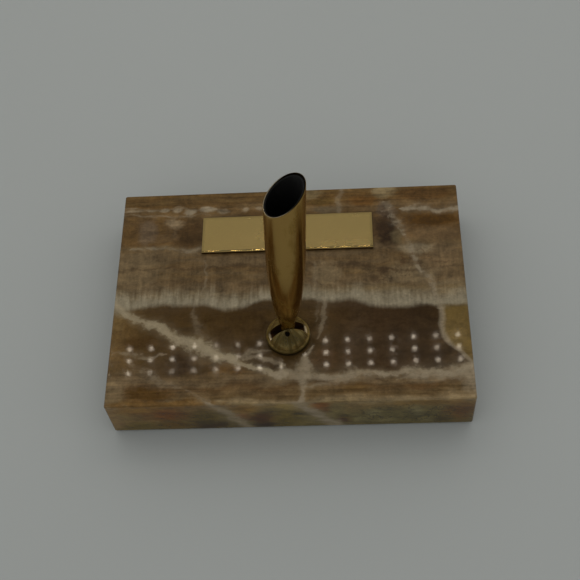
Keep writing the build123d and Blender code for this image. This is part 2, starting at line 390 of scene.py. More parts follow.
class Finish(Wiring):
    """Material under construction, in millimetres of the stand's own frame."""

    def __init__(self, name, metallic=0.0, specular=0.5):
        self.material = bpy.data.materials.new(name)
        self.material.use_nodes = True
        super().__init__(self.material.node_tree)
        self.shader = self.tree.nodes["Principled BSDF"]
        self.shader.inputs["Metallic"].default_value = metallic
        self.shader.inputs["Specular IOR Level"].default_value = specular
        coordinates = self.add("ShaderNodeTexCoord")
        self.place = self.vector("SCALE", coordinates.outputs["Object"], scale=1 / MM)

    def stretched(self, vector, *cell):
        """Coordinates in cells of these lengths, in millimetres."""
        return self.vector("DIVIDE", vector, cell)

    def uneven(self, vector, cell, detail=3.0, rough=0.5, swirl=0.0):
        """Noise in cells of these lengths, from about -1 to 1."""
        raw = self.noise(self.stretched(vector, *cell), detail=detail, rough=rough, swirl=swirl)
        return self.times_plus(raw, NOISE_SPREAD, -NOISE_SPREAD / 2)

    def bands(self, value, stops):
        """Colours along a value, from stops of value and colour."""
        first, last = stops[0][0], stops[-1][0]
        node = self.add("ShaderNodeValToRGB", {0: self.flat(value, first, last)})
        elements = node.color_ramp.elements
        while len(elements) < len(stops):
            elements.new(0.5)
        for element, (station, paint) in zip(elements, stops):
            element.position = (station - first) / (last - first)
            element.color = (*paint, 1)
        return node.outputs[0]

    def line(self, value, points, low, high):
        """Curve through points of value and height; heights lie between low and high."""
        first, last = points[0][0], points[-1][0]
        node = self.add("ShaderNodeFloatCurve", {"Value": self.flat(value, first, last)})
        curve = node.mapping.curves[0]
        while len(curve.points) < len(points):
            curve.points.new(0.5, 0.5)
        for point, (station, height) in zip(curve.points, points):
            point.location = ((station - first) / (last - first), (height - low) / (high - low))
        node.mapping.update()
        return self.times_plus(node.outputs[0], high - low, low)

    def relief(self, height, depth):
        """Bump of this depth in metres on the shader."""
        node = self.add("ShaderNodeBump", {"Strength": 1.0, "Distance": depth, "Height": height})
        self.feed(self.shader.inputs["Normal"], node.outputs[0])

    def done(self, paint, roughness):
        self.feed(self.shader.inputs["Base Color"], paint)
        self.feed(self.shader.inputs["Roughness"], roughness)
        return self.material


# The stone's pattern is listed in millimetres
# A colour is the name of one of the slab's settings or three display values

# Layers by their place across, from low on the front face to the back edge; the pale stops at -54 and -52.4 are a
# painted highlight along the front top edge
LAYERS = (
    (-80, "ash"), (-68, "ash"), (-62, (92, 77, 40)), (-57, (102, 82, 44)), (-54, (114, 98, 70)),
    (-52.4, (110, 94, 68)), (-50.6, (84, 67, 42)), (-48, (86, 69, 45)), (-46.2, (74, 56, 33)),
    (-44, (92, 76, 53)), (-40, "taupe"), (-8, "cream"), (-2, (98, 84, 60)), (2, (86, 70, 47)),
    (6, (80, 64, 41)), (9.5, (83, 67, 43)), (12, (79, 62, 38)), (14.6, (83, 67, 44)), (20, (84, 68, 45)),
    (23.5, (88, 71, 45)), (26, (80, 61, 36)), (33, (82, 63, 38)), (40, (78, 59, 33)),
    (42.5, (86, 68, 43)), (45, (88, 69, 42)), (47, (78, 58, 30)), (49, "ochre"), (51, (76, 56, 28)),
    (53, (86, 66, 36)), (58, "rust"),
)
# Tones of the dark band by their place along it
DARK_TONES = (
    (-80, (90, 71, 43)), (-69, (82, 63, 35)), (-60, "umber"), (-50, (62, 46, 24)), (-38, (61, 45, 22)),
    (-12, (56, 41, 20)), (8, (60, 45, 23)), (14, (64, 49, 29)), (22, (57, 42, 23)), (40, "chocolate"),
    (58, (49, 36, 21)), (80, (60, 46, 27)),
)
# Lines by place along and place across: the dark band's back edge and its front edge
CREST = (
    (-80, -5.0), (-72, -6.2), (-60, -5.7), (-52, -5.8), (-45, -5.2), (-37, -6.1), (-30, -7.9),
    (-25, -8.7), (-20, -7.9), (-15, -6.2), (-8, -4.7), (6, -4.6), (14, -6.5), (21, -7.0), (27, -6.2),
    (31, -6.7), (36, -8.3), (41, -9.2), (48, -9.6), (56, -9.6), (63, -10.3), (80, -10.4),
)
SOLE = (
    (-80, -38), (-60, -39), (-48, -40.5), (-36, -39.5), (-28, -38), (-18, -38.5), (-8, -40), (5, -39.4),
    (15, -40.2), (28, -41), (42, -39.6), (50, -39.8), (62, -40.2), (80, -39.6),
)
# Start of the dark band's clear end, by place across and place along
SEAM = (
    (-42, 78), (-38, 74), (-34.6, 71.6), (-31.7, 69), (-28.3, 66.6), (-22.5, 65.2), (-15.8, 65.1),
    (-8, 64.9),
)
# Patches on the top face: middle along and across, reach along and across, colour, strength
TOP_PATCHES = (
    (-72.5, 32, 4.5, 8, (80, 59, 29), 0.7), (-64.5, 33, 4, 6.5, (88, 73, 55), 0.75),
    (-58.5, 35, 2, 5, (82, 61, 30), 0.6), (-52.5, 37, 4.6, 3, (114, 97, 72), 0.9),
    (-51, 32, 2.6, 4, (98, 81, 58), 0.6), (-45, 30.5, 7.6, 8.6, (61, 44, 22), 0.95),
    (43.5, 41, 5, 5, (80, 67, 52), 0.85), (43, 30, 6.4, 10, "mauve", 1.0),
    (48.2, 26.5, 3, 4.4, (76, 65, 44), 0.8), (56, 19.2, 8.5, 2.6, (110, 97, 74), 0.8),
    (65, 34.8, 14, 4.6, "rust", 1.0), (65, 26, 13, 5, (90, 71, 46), 0.7),
    (44, 52, 6.6, 4.6, (112, 97, 68), 0.9), (10, 51.5, 5, 3, (106, 91, 62), 0.7),
    (15.5, 47, 7, 2.6, (88, 67, 31), 0.85), (33, 46.6, 7.6, 2.8, (84, 57, 23), 0.9),
    (17, 42, 7, 2.4, (82, 71, 52), 0.7), (61, 49.5, 14, 4.2, (76, 53, 24), 0.85),
    (-58.5, -48.6, 12, 2.8, (68, 47, 18), 0.9), (-24, -37.4, 9, 3.2, (78, 56, 26), 0.95),
    (-8, -37, 4.2, 1.7, (51, 37, 21), 0.85), (-45, -34.5, 5, 7, (51, 37, 21), 0.9),
    (-63, -24.5, 8, 2.8, (63, 45, 22), 0.75), (15, -34, 6.5, 5, (68, 49, 28), 0.6),
    (56, -14, 5.6, 5.4, (45, 33, 19), 0.7), (27.6, 11.6, 2.8, 2, (62, 48, 29), 0.75),
    (41.5, 8.4, 3.2, 2.2, (58, 42, 25), 0.8), (36.5, 4.8, 2.2, 1.8, (64, 49, 30), 0.7),
    (52, 1.5, 4.6, 1.3, (68, 53, 33), 0.55), (68, 13, 9, 8, (98, 80, 55), 0.65),
    (16, 8, 6.5, 7, (107, 91, 65), 0.75), (54, 7, 12, 5.5, (104, 89, 64), 0.6),
    (-73, -48, 5, 6, (106, 90, 64), 0.7), (-68, 12, 13, 11, (101, 85, 60), 0.65),
    (-74, -6.5, 5.5, 5, "cream", 0.7), (-75, -13.5, 4.5, 5, (98, 79, 48), 0.7),
    (27, -46.9, 7, 2.2, (76, 57, 30), 0.8), (-52, -53.6, 26, 2.6, (88, 64, 30), 0.9),
    (56, -47.6, 9, 1.6, (72, 52, 28), 0.7), (75, -46, 4.6, 7, "milk", 0.6),
    (-71, 45, 5.4, 1.0, "milk", 0.45), (-62.5, 45.1, 2.6, 0.8, "milk", 0.35),
    (-56.8, 44.8, 2.4, 1.0, "milk", 0.6), (-51.4, 44.6, 2.4, 1.1, "milk", 0.65),
    (-45.5, 43.5, 3.2, 1.6, "milk", 0.8), (-37.5, 43.9, 3.8, 1.5, "milk", 0.85),
    (-31, 43.4, 3.0, 1.5, "milk", 0.5), (-20.5, 43.5, 2, 1.3, "milk", 0.5),
    (-13.5, 43.8, 2.4, 1.3, "milk", 0.4),
)
# Patches on the front face: middle along and up, reach along and up, colour, strength
FRONT_PATCHES = (
    (-62, 21, 15, 4, (106, 76, 20), 0.85), (-66, 10, 9, 6.4, (94, 74, 37), 0.95),
    (-64, 6, 7, 3.4, (88, 72, 24), 0.8), (-74.5, 12, 4, 10, (110, 84, 46), 0.7),
    (-50.5, 15, 11, 6, (88, 52, 10), 1.0), (-49, 6, 9, 3.8, (78, 56, 14), 0.9),
    (-34, 14, 7.6, 7, (70, 56, 16), 0.95), (-33.5, 5, 9.5, 4, (46, 31, 12), 0.95),
    (-19.5, 20, 6.4, 4, (106, 76, 22), 0.8), (-20, 13.6, 3.8, 3.2, (94, 58, 24), 0.75),
    (-11.5, 11, 7.6, 6, (62, 36, 8), 1.0), (-11, 4.4, 7, 3, (38, 24, 9), 0.95),
    (-1.5, 11, 6, 8, (82, 67, 20), 0.9), (1, 21.5, 6, 3.4, (116, 98, 52), 0.75),
    (4, 14, 2.8, 1.6, (48, 39, 14), 0.8), (13, 21.5, 3.8, 4.4, (94, 56, 10), 1.0),
    (15, 17, 2, 2.6, (82, 50, 12), 0.85), (20, 17, 4, 5.4, (92, 80, 46), 0.8),
    (46, 11, 25, 10, (78, 69, 36), 0.9), (34, 14, 3.2, 3.8, (98, 90, 58), 0.7),
    (30, 7.5, 3.4, 3, (100, 90, 56), 0.7), (39, 7, 3.8, 2.8, (98, 88, 54), 0.7),
    (52, 14, 3.2, 4.6, (96, 88, 58), 0.7), (56, 5, 3, 2.4, (98, 88, 52), 0.8),
    (56, 21.8, 16, 2.6, (100, 74, 24), 0.9), (71, 13, 7, 9, (78, 50, 14), 0.95),
    (64, 6, 4.4, 3.4, (62, 49, 20), 0.8), (22.4, 7.6, 2.8, 4, (54, 33, 10), 1.0),
)
# Thin threads: middle and reach of a group, colour, strength
THREADS = (
    ((48, -54, 12), (27, 6, 10), (44, 36, 16), 0.7), ((58, 14, stone_top), (16, 6, 6), (70, 47, 27), 0.6),
    ((44, 6, stone_top), (12, 5, 6), (62, 46, 28), 0.6),
    ((43, 40, stone_top), (5, 5, 6), (104, 92, 74), 0.8),
)
# Veins along the slab: colour, strength, brokenness, then place along, place across and half width
LONG_VEINS = (
    ("vein", 1.0, 0.12, (
        (-80, -0.5, 1.2), (-74, -5.2, 1.6), (-67.8, -10.6, 1.7), (-60.3, -15.2, 2.0), (-54, -19, 2.3),
        (-46.8, -23.5, 2.4), (-40, -26.2, 2.7), (-34, -28.9, 2.5), (-29, -30.8, 2.2), (-23, -33.4, 1.6),
        (-17.7, -35.8, 1.2), (-12, -38.8, 1.1), (-6, -40.6, 1.2), (0, -41, 0.6))),
    ("milk", 1.0, 0.4, (
        (-8, -40.6, 0.6), (-2, -40.6, 1.6), (6, -41, 2.0), (15, -42, 1.5), (24, -42, 1.8),
        (29, -42.2, 1.6), (35, -41.8, 1.2), (42, -40.7, 1.0), (47, -40.9, 1.5), (52, -40.8, 1.9),
        (60, -41.4, 1.9), (67, -41.9, 1.9), (72, -41.4, 2.2), (80, -40.8, 2.6))),
    ("milk", 0.5, 0.9, ((44, -43.6, 0.3), (55, -43.4, 1.0), (66, -44.2, 1.5), (80, -46, 2.4))),
    ("milk", 0.34, 1.0, (
        (-68, -33, 0.2), (-63, -36.4, 1.5), (-59, -38.4, 1.7), (-53, -42, 1.5), (-46, -45.8, 0.7),
        (-40, -49, 0.6), (-36, -51.6, 1.2), (-32, -54, 2.2))),
    ("milk", 0.9, 0.5, (
        (50, 40.8, 0.2), (53, 41.2, 0.9), (58, 41.8, 1.1), (62, 41.6, 1.2), (66, 40.6, 1.0),
        (70, 40.2, 1.2), (80, 41, 1.3))),
    ("milk", 0.5, 1.0, (
        (-72, 23, 0.2), (-68, 23.4, 0.8), (-62, 23.6, 0.9), (-57, 23, 0.8), (-52, 21.8, 0.7),
        (-48, 21.6, 1.0), (-43, 22.2, 1.1), (-38, 23, 0.4))),
    ("milk", 0.4, 0.8, ((-80, 46.2, 0.4), (-62, 46, 0.5), (-46, 46.2, 0.3))),
    ("milk", 0.4, 0.8, ((-80, 41.4, 0.4), (-60, 41.8, 0.5), (-36, 41.6, 0.3))),
    ("milk", 0.6, 0.5, ((-22, -33, 0.3), (-19.5, -31.8, 0.8), (-12, -30.2, 0.7), (-8, -30, 0.2))),
    ("milk", 0.65, 0.5, (
        (-18.5, -32.4, 0.2), (-14, -33.2, 0.8), (-7.8, -34.6, 0.9), (-3.3, -35.6, 0.9), (-1, -37, 0.6))),
    ("milk", 0.45, 0.8, ((-76, -30, 0.3), (-66, -29.6, 0.7), (-58, -31.4, 0.6), (-52, -31, 0.2))),
    ("milk", 0.5, 0.6, (
        (6, -48.4, 0.2), (8.8, -47.5, 0.7), (14, -45.6, 0.8), (19.7, -44.2, 0.7), (26, -42.6, 0.3))),
    ("bark", 0.6, 0.8, (
        (-80, 12.2, 0.4), (-58, 13, 0.5), (-37, 12.6, 0.6), (-22, 12.4, 0.7), (-10, 13.4, 0.5),
        (7, 12.6, 0.6), (25, 12.4, 0.9), (30, 12, 0.8), (38, 10.4, 0.6), (43, 9.4, 0.7), (52, 9, 0.6),
        (70, 9.6, 0.5), (80, 9.4, 0.3))),
    ("bark", 0.35, 1.0, ((-62, 5, 0.3), (-50, 5.4, 0.6), (-38, 4.8, 0.6), (-26, 5.2, 0.4))),
    ("bark", 0.5, 0.7, ((33, -45, 0.2), (38, -44.6, 0.7), (46, -45.6, 0.8), (53, -46.8, 0.3))),
)
# Upright veins: the same, with the place across before the place along
UPRIGHT_VEINS = (
    ("milk", 0.5, 0.4, (
        (-25, 11.4, 0.3), (-21, 12.4, 0.8), (-17.5, 13.5, 0.9), (-12.5, 14, 0.9), (-8, 14.3, 0.8),
        (-4.5, 13.6, 0.4))),
    ("milk", 0.2, 0.6, (
        (-18, 10.6, 0.3), (-12, 11.4, 0.7), (-5, 11.7, 0.6), (2, 11.6, 0.7), (8, 11.5, 0.6),
        (15, 12.2, 0.2))),
    ("milk", 0.9, 0.5, (
        (-80, 4.6, 3.6), (-70, 4.6, 3.2), (-62, 4.6, 2.4), (-54.5, 3.2, 2.6), (-52.4, 4.6, 1.5),
        (-50, 5.8, 0.9), (-46, 6.6, 1.2), (-43.5, 6.8, 2.2), (-41, 7, 2.9), (-36, 7.2, 2.2),
        (-32, 8.2, 1.2), (-27, 10.5, 0.3))),
    ("milk", 0.3, 0.6, (
        (-24, -38.6, 1.4), (-19, -39.1, 1.0), (-12, -40.1, 0.8), (-6.5, -40.2, 0.5), (0, -38.5, 0.4),
        (10, -37.2, 0.5), (17, -36.8, 0.3))),
    ("milk", 0.66, 1.0, (
        (-12, 64.9, 1.1), (-6.8, 64.2, 1.4), (-1, 62.4, 1.3), (4, 60.8, 1.2), (8.2, 58.2, 1.0),
        (11.5, 56.6, 0.9), (16.5, 55, 1.3), (20.7, 53.4, 1.5), (26.5, 52, 0.8), (29.8, 51, 1.2),
        (34.4, 48.8, 2.0), (37, 47.2, 1.6), (40, 45.8, 1.0), (46, 44.4, 1.4))),
    ("milk", 0.7, 0.4, (
        (-78, -32, 2.2), (-70, -32.2, 2.4), (-62, -31.4, 2.4), (-56, -32, 2.2), (-52.6, -33, 1.6))),
    ("milk", 0.65, 0.6, ((-42, -4.4, 0.4), (-39, -3.2, 0.9), (-36, -2.8, 0.9), (-34.5, -4, 0.3))),
    ("milk", 0.5, 0.5, ((38, 23.2, 0.5), (44, 23.4, 0.9), (50, 23, 0.9), (58, 23.2, 0.7))),
)

class Onyx(Finish):
    """Banded calcite in millimetres of the slab; its layers dip to the back, its veins to the right."""

    def __init__(self, values):
        super().__init__("onyx", specular=values.gloss)
        self.values = values
        self.loose = self.wander(self.wander(self.place, 14, 0.45), 3, 0.08)
        self.along, self.across, _ = self.split(self.laid(self.loose))
        self.torn = self.wander(self.wander(self.loose, 4, 0.22), 1.3, 0.1)
        layer = self.laid(self.place)
        self.below = self.step(self.split(layer)[2], stone_top - 0.2, stone_top - 1.1)
        self.broad = self.uneven(layer, (34, 11, 14))
        self.mottle = self.uneven(layer, (8, 5, 6), detail=6, rough=0.68, swirl=0.4)
        self.cloud = self.uneven(layer, (6, 3.5, 5), detail=4, rough=0.6)
        self.fray = self.uneven(layer, (4, 3, 4), detail=2)
        self.grit = self.uneven(layer, (1.2, 0.9, 1), rough=0.7)
        self.growth = self.uneven(layer, (44, 1.4, 9), rough=0.55)
        self.fibre = self.uneven(layer, (1.3, 8, 6), detail=2)
        self.column = self.uneven(layer, (4.5, 60, 20), rough=0.6)
        self.tint = self.uneven(layer, (26, 3.6, 10), detail=4, rough=0.6)
        self.branch = self.uneven(self.place, (7, 7, 5), detail=4, rough=0.6, swirl=0.6)
        self.over_crest = self.minus(self.across, self.line(self.along, CREST, -12, 0))

    def shade(self, entry):
        """Colour of the slab's settings by its name, or one given by its display values."""
        return getattr(self.values, entry) if isinstance(entry, str) else tone(*entry)

    def laid(self, vector):
        """Coordinates along and across the layers, and up."""
        x, y, z = self.split(vector)
        depth = self.minus(stone_top, z)
        return self.join(self.times_plus(depth, -self.values.drift, x),
                         self.times_plus(depth, -self.values.dip, y), z)

    def wander(self, vector, cell, reach):
        """Coordinates shifted to and fro by about this reach, in cells of this length."""
        feeds = {"Vector": self.stretched(vector, cell, cell, cell), "Scale": 1.0, "Detail": 0.5}
        shift = self.add("ShaderNodeTexNoise", feeds).outputs["Color"]
        away = self.vector("SUBTRACT", shift, (0.5, 0.5, 0.5))
        return self.vector("ADD", vector, self.vector("SCALE", away, scale=NOISE_SPREAD * reach))

    def away(self, vector, middle, reach):
        """Distance from a middle as a share of the reach."""
        return self.vector("LENGTH", self.vector("DIVIDE", self.vector("SUBTRACT", vector, middle), reach))

    def lit(self, paint, light):
        """Colour times a light that never gets near black."""
        return self.vector("SCALE", paint, scale=self.math("MAXIMUM", light, LEAST_LIGHT))

    def layers(self):
        """Layers from low on the front face, past the front edge, to the back edge, tinted gold in places."""
        wavy = self.times_plus(self.broad, 1.3, self.across)
        paint = self.bands(wavy, [(place, self.shade(entry)) for place, entry in LAYERS])
        golden = self.blend(1.0, paint, GOLDEN_TINT, "MULTIPLY")
        tinted = self.times(self.step(self.tint, -0.1, 0.8, 0.0, 0.6), self.step(self.across, -44, -36, 0.25))
        return self.blend(tinted, paint, golden)

    def dark_band(self, paint):
        """Feathery pale layer, the dark band in front of it and the band's clear golden end."""
        values = self.values
        reach = self.times_plus(self.fibre, -0.6, self.times_plus(self.column, -0.9, self.over_crest))
        feather = self.times(self.step(reach, 9.5, 0.5), self.step(self.over_crest, -4, -1))
        paint = self.blend(feather, paint, values.cream)
        over_sole = self.minus(self.across, self.line(self.along, SOLE, -44, -32))
        frayed = self.times_plus(self.fibre, 0.06, self.over_crest)
        dark = self.times(self.step(frayed, 1.8, -1.5), self.step(over_sole, -1.2, 1.8))
        tones = [(place, self.shade(entry)) for place, entry in DARK_TONES]
        paint = self.blend(dark, paint, self.bands(self.times_plus(self.mottle, 4.0, self.along), tones))
        past = self.minus(self.along, self.line(self.across, SEAM, 60, 84))
        paint = self.blend(self.times(self.step(past, -0.5, 0.9), dark), paint, values.honey)
        rim = self.times(self.step(self.magnitude(past), 1.9, 0.2, 0.0, 0.65), dark)
        return self.blend(rim, paint, values.milk)

    def patches(self, paint):
        """Soft patches on the top face and then on the front face."""
        for x, y, wide, deep, entry, strength in TOP_PATCHES:
            mask = self.patch((x, y, stone_top), (wide, deep, TOP_PATCH_REACH), 0.5, strength)
            paint = self.blend(mask, paint, self.shade(entry))
        for x, z, wide, tall, entry, strength in FRONT_PATCHES:
            mask = self.patch((x, stone_front, z), (wide, FRONT_PATCH_REACH, tall), 0.2, strength)
            paint = self.blend(self.times(mask, self.below), paint, self.shade(entry))
        return paint

    def patch(self, middle, reach, core, strength):
        """Mask of a patch about a middle, full inside this share of its reach."""
        away = self.times_plus(self.fray, 0.13, self.away(self.loose, middle, reach))
        return self.step(away, 1.8 - core, core, 0.0, strength)

    def threads(self, paint):
        """Thin branching threads in a few groups."""
        thin = self.step(self.magnitude(self.branch), 0.22, 0.02)
        for middle, reach, entry, strength in THREADS:
            inside = self.step(self.away(self.place, middle, reach), 1.1, 0.6, 0.0, strength)
            paint = self.blend(self.times(inside, thin), paint, self.shade(entry))
        return paint

    def veins(self, paint):
        """Veins along the slab, then upright ones, each with a solid core and a faint halo."""
        along, across, _ = self.split(self.laid(self.torn))
        lines = [(along, across, *vein) for vein in LONG_VEINS]
        lines += [(across, along, *vein) for vein in UPRIGHT_VEINS]
        ragged = self.times_plus(self.fray, 0.2, self.times(self.grit, 0.24))
        for station, place, entry, strength, broken, points in lines:
            heights = [height for _, height, _ in points]
            middle = self.line(station, [(a, b) for a, b, _ in points], min(heights) - 1, max(heights) + 1)
            half = self.line(station, [(a, wide) for a, _, wide in points], 0, WIDEST_VEIN)
            away = self.plus(self.over(self.magnitude(self.minus(place, middle)), half), ragged)
            mask = self.plus(self.step(away, 1.7, 0.3, 0.0, 0.75), self.step(away, 3.6, 0.6, 0.0, 0.2))
            whole = self.step(self.cloud, 0.7, -0.7, strength * (1 - 0.7 * broken), strength)
            inside = self.times(self.math("GREATER_THAN", station, points[0][0]),
                                self.math("LESS_THAN", station, points[-1][0]))
            paint = self.blend(self.times(mask, whole, inside), paint, self.shade(entry))
        return paint

    def grain(self, paint):
        """Growth lines near front and back, and fibres across the middle."""
        lines = self.step(self.magnitude(self.across), 34, 44, 0.02, 0.14)
        lines = self.times(lines, self.times_plus(self.below, -0.9, 1.0))
        middle = self.times(self.step(self.over_crest, -2, 1), self.step(self.across, 27, 18))
        hair = self.times(self.times_plus(middle, 0.05, 0.03), self.times_plus(self.below, -0.8, 1.0))
        light = self.times_plus(self.fibre, hair, self.times_plus(self.growth, lines, 1.0))
        light = self.times_plus(self.times(self.column, middle), 0.06, light)
        calm = self.step(self.magnitude(self.over_crest), 2, 8, 0.02, 0.17)
        return self.lit(paint, self.times_plus(self.mottle, calm, light))

    def mottled(self, paint):
        """Fine mottling all over."""
        return self.lit(paint, self.times_plus(self.mottle, 0.06, self.times_plus(self.grit, 0.09, 1.0)))


def onyx_finish(values):
    """Polished onyx with small pits in its polish."""
    stone = Onyx(values)
    paint = stone.patches(stone.dark_band(stone.layers()))
    paint = stone.mottled(stone.veins(stone.grain(stone.threads(paint))))
    worn = stone.uneven(stone.place, (17, 17, 17), detail=2)
    pits = stone.times_plus(worn, 0.35, stone.uneven(stone.place, (0.4, 0.4, 0.4), detail=2))
    return stone.done(paint, stone.step(pits, 0.1, 0.7, values.polish, values.pitted))


def scaled(paint, factor):
    """Colour times a factor, no brighter than white."""
    return tuple(min(1.0, channel * factor) for channel in paint)


class Brass(Finish):
    """Polished brass with dulled patches, smears and hair marks."""

    def __init__(self, name, values, paint, roughness, marks):
        super().__init__(name, metallic=1.0)
        self.shader.inputs["Specular Tint"].default_value = (*values.grazing, 1)
        dull = self.uneven(self.place, (5, 5, 9), detail=5, rough=0.65)
        smear = self.uneven(self.place, (1.6, 1.6, 14), detail=4, rough=0.6)
        worn = self.step(dull, -0.1, 1.2, 0.0, 0.6)
        self.paint = self.blend(worn, paint, values.tarnish)
        self.rough = self.times_plus(worn, 0.1, self.times_plus(smear, 0.03, roughness))
        self.relief(self.noise(self.stretched(self.place, *marks), detail=2), 0.0005 * MM)

    def own_frame(self, place):
        """Coordinates in a piece's own frame."""
        away = self.vector("SUBTRACT", self.place, tuple(place.translation / MM))
        return [self.vector("DOT_PRODUCT", away, tuple(place.col[axis].to_3d())) for axis in range(3)]

    def spotted(self, mask, paint, roughness):
        """Another colour and roughness where the mask is set."""
        self.paint = self.blend(mask, self.paint, paint)
        self.rough = self.times_plus(self.minus(roughness, self.rough), mask, self.rough)

    def finished(self):
        return self.done(self.paint, self.rough)


def funnel_finish(values):
    """Spun brass with pale patches towards its foot, partly stains and partly a painted highlight, near black
    inside its mouth and worn pale on its low lip.
    """
    metal = Brass("funnel_brass", values, values.brass, values.polish, (0.35, 0.35, 30))
    x, y, z = metal.own_frame(funnel_place)
    # Paler, rougher patches low on the funnel: partly stains, partly a painted highlight for the bright patches
    # reflected there
    stain = metal.uneven(metal.place, (2.4, 2.4, 6))
    low = metal.step(z, values.stain_top / MM, values.stain_full / MM, 0.05, 0.6)
    metal.spotted(metal.times(metal.step(stain, -0.9, 1.1), low), values.stain, 0.36)
    radius = metal.vector("LENGTH", metal.join(x, y, 0.0))
    outer = values.tube_radius / MM
    inner = outer - values.wall / MM
    deep = values.soot_start / MM
    # The inside of the mouth and the inner part of the lip are painted near black
    mouth = metal.times(metal.step(radius, outer - 0.05, outer - 0.2), metal.step(z, deep, deep + 4))
    metal.spotted(mouth, values.black_brass_and_shade, 0.5)
    middle = values.mouth_height / MM
    wall = metal.step(radius, inner + 0.02, inner + 0.06)
    rubbed = metal.times(mouth, wall, metal.step(z, middle + 2, middle - 3))
    metal.spotted(rubbed, values.bare_brass_and_highlight, 0.45)
    return metal.finished()


def dome_finish(values, swivel):
    """Turned brass whose highlights spread from the axis, with painted shade in its slot and round its foot,
    painted highlights at the slot's ends and painted darker sectors between its reflected wedges.
    """
    metal = Brass("dome_brass", values, values.turned, 0.26, (4, 4, 0.1))
    metal.shader.inputs["Anisotropic"].default_value = 0.8
    metal.shader.inputs["Anisotropic Rotation"].default_value = 0.25
    around = metal.add("ShaderNodeTangent", direction_type="RADIAL", axis="Z")
    metal.feed(metal.shader.inputs["Tangent"], around.outputs[0])
    ahead, cross, high = metal.own_frame(swivel_place)
    skirt, floor, root = swivel.skirt_height / MM, swivel.slot_floor / MM, swivel.root_radius / MM
    half = swivel.slot_width / MM / 2
    # Darker, rougher sectors round the axis: painted reflection, the dark gaps between the reflected wedges
    sector = metal.join(metal.math("ARCTAN2", cross, ahead), 0.0, 0.0)
    strokes = metal.uneven(sector, (0.34, 1, 1), detail=1)
    metal.spotted(metal.step(strokes, -0.3, 0.6, 0.0, 0.6), values.shade, 0.4)
    # Painted shade: the skirt is darkened, and near black towards its foot on the stone
    metal.spotted(metal.step(high, skirt + 0.3, skirt - 0.2, 0.0, 0.8), values.shade, 0.55)
    metal.spotted(metal.step(high, skirt - 0.5, skirt - 1.3, 0.0, 0.8), values.black_brass_and_shade, 0.5)
    between = metal.step(metal.magnitude(cross), half + 0.06, half + 0.02)
    slot = metal.times(between, metal.step(high, floor - 0.4, floor - 0.1))
    ends = metal.step(metal.magnitude(ahead), root - 1.35, root - 0.55)
    # Painted shade on the slot's floor and walls
    metal.spotted(slot, values.painted_slot_shade, 0.6)
    # Painted highlight: pale brass at the slot's ends
    metal.spotted(metal.times(slot, ends), values.bare_brass_and_highlight, 0.4)
    return metal.finished()


def tongue_finish(values):
    """Brass of the tongue, dulled where it swings in the slot."""
    return Brass("tongue_brass", values, values.tarnish, 0.4, (3, 3, 0.2)).finished()


def plate_finish(values):
    """Satin gold plate with a faint speckle, polished rolled edges and painted shade on its upright sides."""
    metal = Finish("plate_gold", metallic=1.0)
    speck = metal.noise(metal.place, scale=1.6, rough=0.7)
    drift = metal.noise(metal.stretched(metal.place, 22, 9, 9))
    grain = metal.noise(metal.stretched(metal.place, 5, 0.12, 5), detail=2)
    specks = metal.times(metal.step(speck, 0.45, 0.8), 0.5)
    paint = metal.blend(specks, values.gold, scaled(values.gold, 0.8))
    _, _, high = metal.split(metal.place)
    top = (plate_high.z - values.edge_radius) / MM
    # Painted shade: the upright sides below the rolled edges take the dark rim colour
    paint = metal.blend(metal.step(high, top, top - 0.12), paint, values.rim)
    middle, reach = (plate_low + plate_high) / 2 / MM, (plate_high - plate_low) / 2 / MM
    away = metal.vector("ABSOLUTE", metal.vector("SUBTRACT", metal.place, tuple(middle)))
    inset_x, inset_y, _ = metal.split(metal.vector("SUBTRACT", tuple(reach), away))
    roll = values.roll / MM
    face = metal.step(metal.math("MINIMUM", inset_x, inset_y), roll, roll + 0.1)
    metal.relief(metal.times(metal.times_plus(grain, 0.4, speck), face), 0.0008 * MM)
    satin = metal.times_plus(drift, 0.12, values.satin - 0.06)
    change = metal.minus(satin, values.edge_polish)
    return metal.done(paint, metal.times_plus(change, face, values.edge_polish))


def steel_finish(name, paint, roughness):
    """Plated or oiled steel with hair marks and small stains."""
    metal = Finish(name, metallic=1.0)
    stain = metal.noise(metal.place, scale=0.7, detail=5, rough=0.7)
    marks = metal.noise(metal.stretched(metal.place, 2.5, 2.5, 0.12), detail=2)
    metal.relief(marks, 0.002 * MM)
    return metal.done(metal.blend(metal.step(stain, 0.45, 0.78), paint, scaled(paint, 0.55)),
                      metal.times_plus(stain, 0.2, roughness))


def plastic_finish(values):
    """Black moulded plastic, matt inside the funnel and a little dusty."""
    skin = Finish("black_plastic", specular=0.35)
    grain = skin.noise(skin.place, scale=6.0)
    dust = skin.noise(skin.stretched(skin.place, 3, 3, 8), detail=5, rough=0.7)
    paler = tuple(channel * 2.2 + 0.004 for channel in values.plastic)
    skin.relief(grain, 0.01 * MM)
    return skin.done(skin.blend(skin.step(dust, 0.5, 0.9), values.plastic, paler),
                     skin.times_plus(grain, 0.2, 0.45))


def pressed_finish(name, paint, cell, depth):
    """Pressed fibre, felt or foam: short matted strands with no gloss."""
    mat = Finish(name, specular=0.15)
    strands = mat.noise(mat.stretched(mat.place, cell, cell, cell * 0.6), detail=5, rough=0.75, swirl=1.2)
    patch = mat.noise(mat.place, scale=0.35)
    shade = mat.blend(mat.step(strands, 0.3, 0.7), scaled(paint, 0.55), scaled(paint, 1.5))
    shade = mat.blend(mat.times(patch, 0.5), shade, paint)
    mat.relief(strands, depth)
    return mat.done(shade, mat.times_plus(strands, 0.1, 0.85))


def sheet_finish(name, paint, scale, darkest):
    """Matt paper or board with a barely uneven tone."""
    sheet = Finish(name, specular=0.1)
    uneven = sheet.noise(sheet.place, scale=scale)
    return sheet.done(sheet.blend(uneven, paint, scaled(paint, darkest)), 0.9)


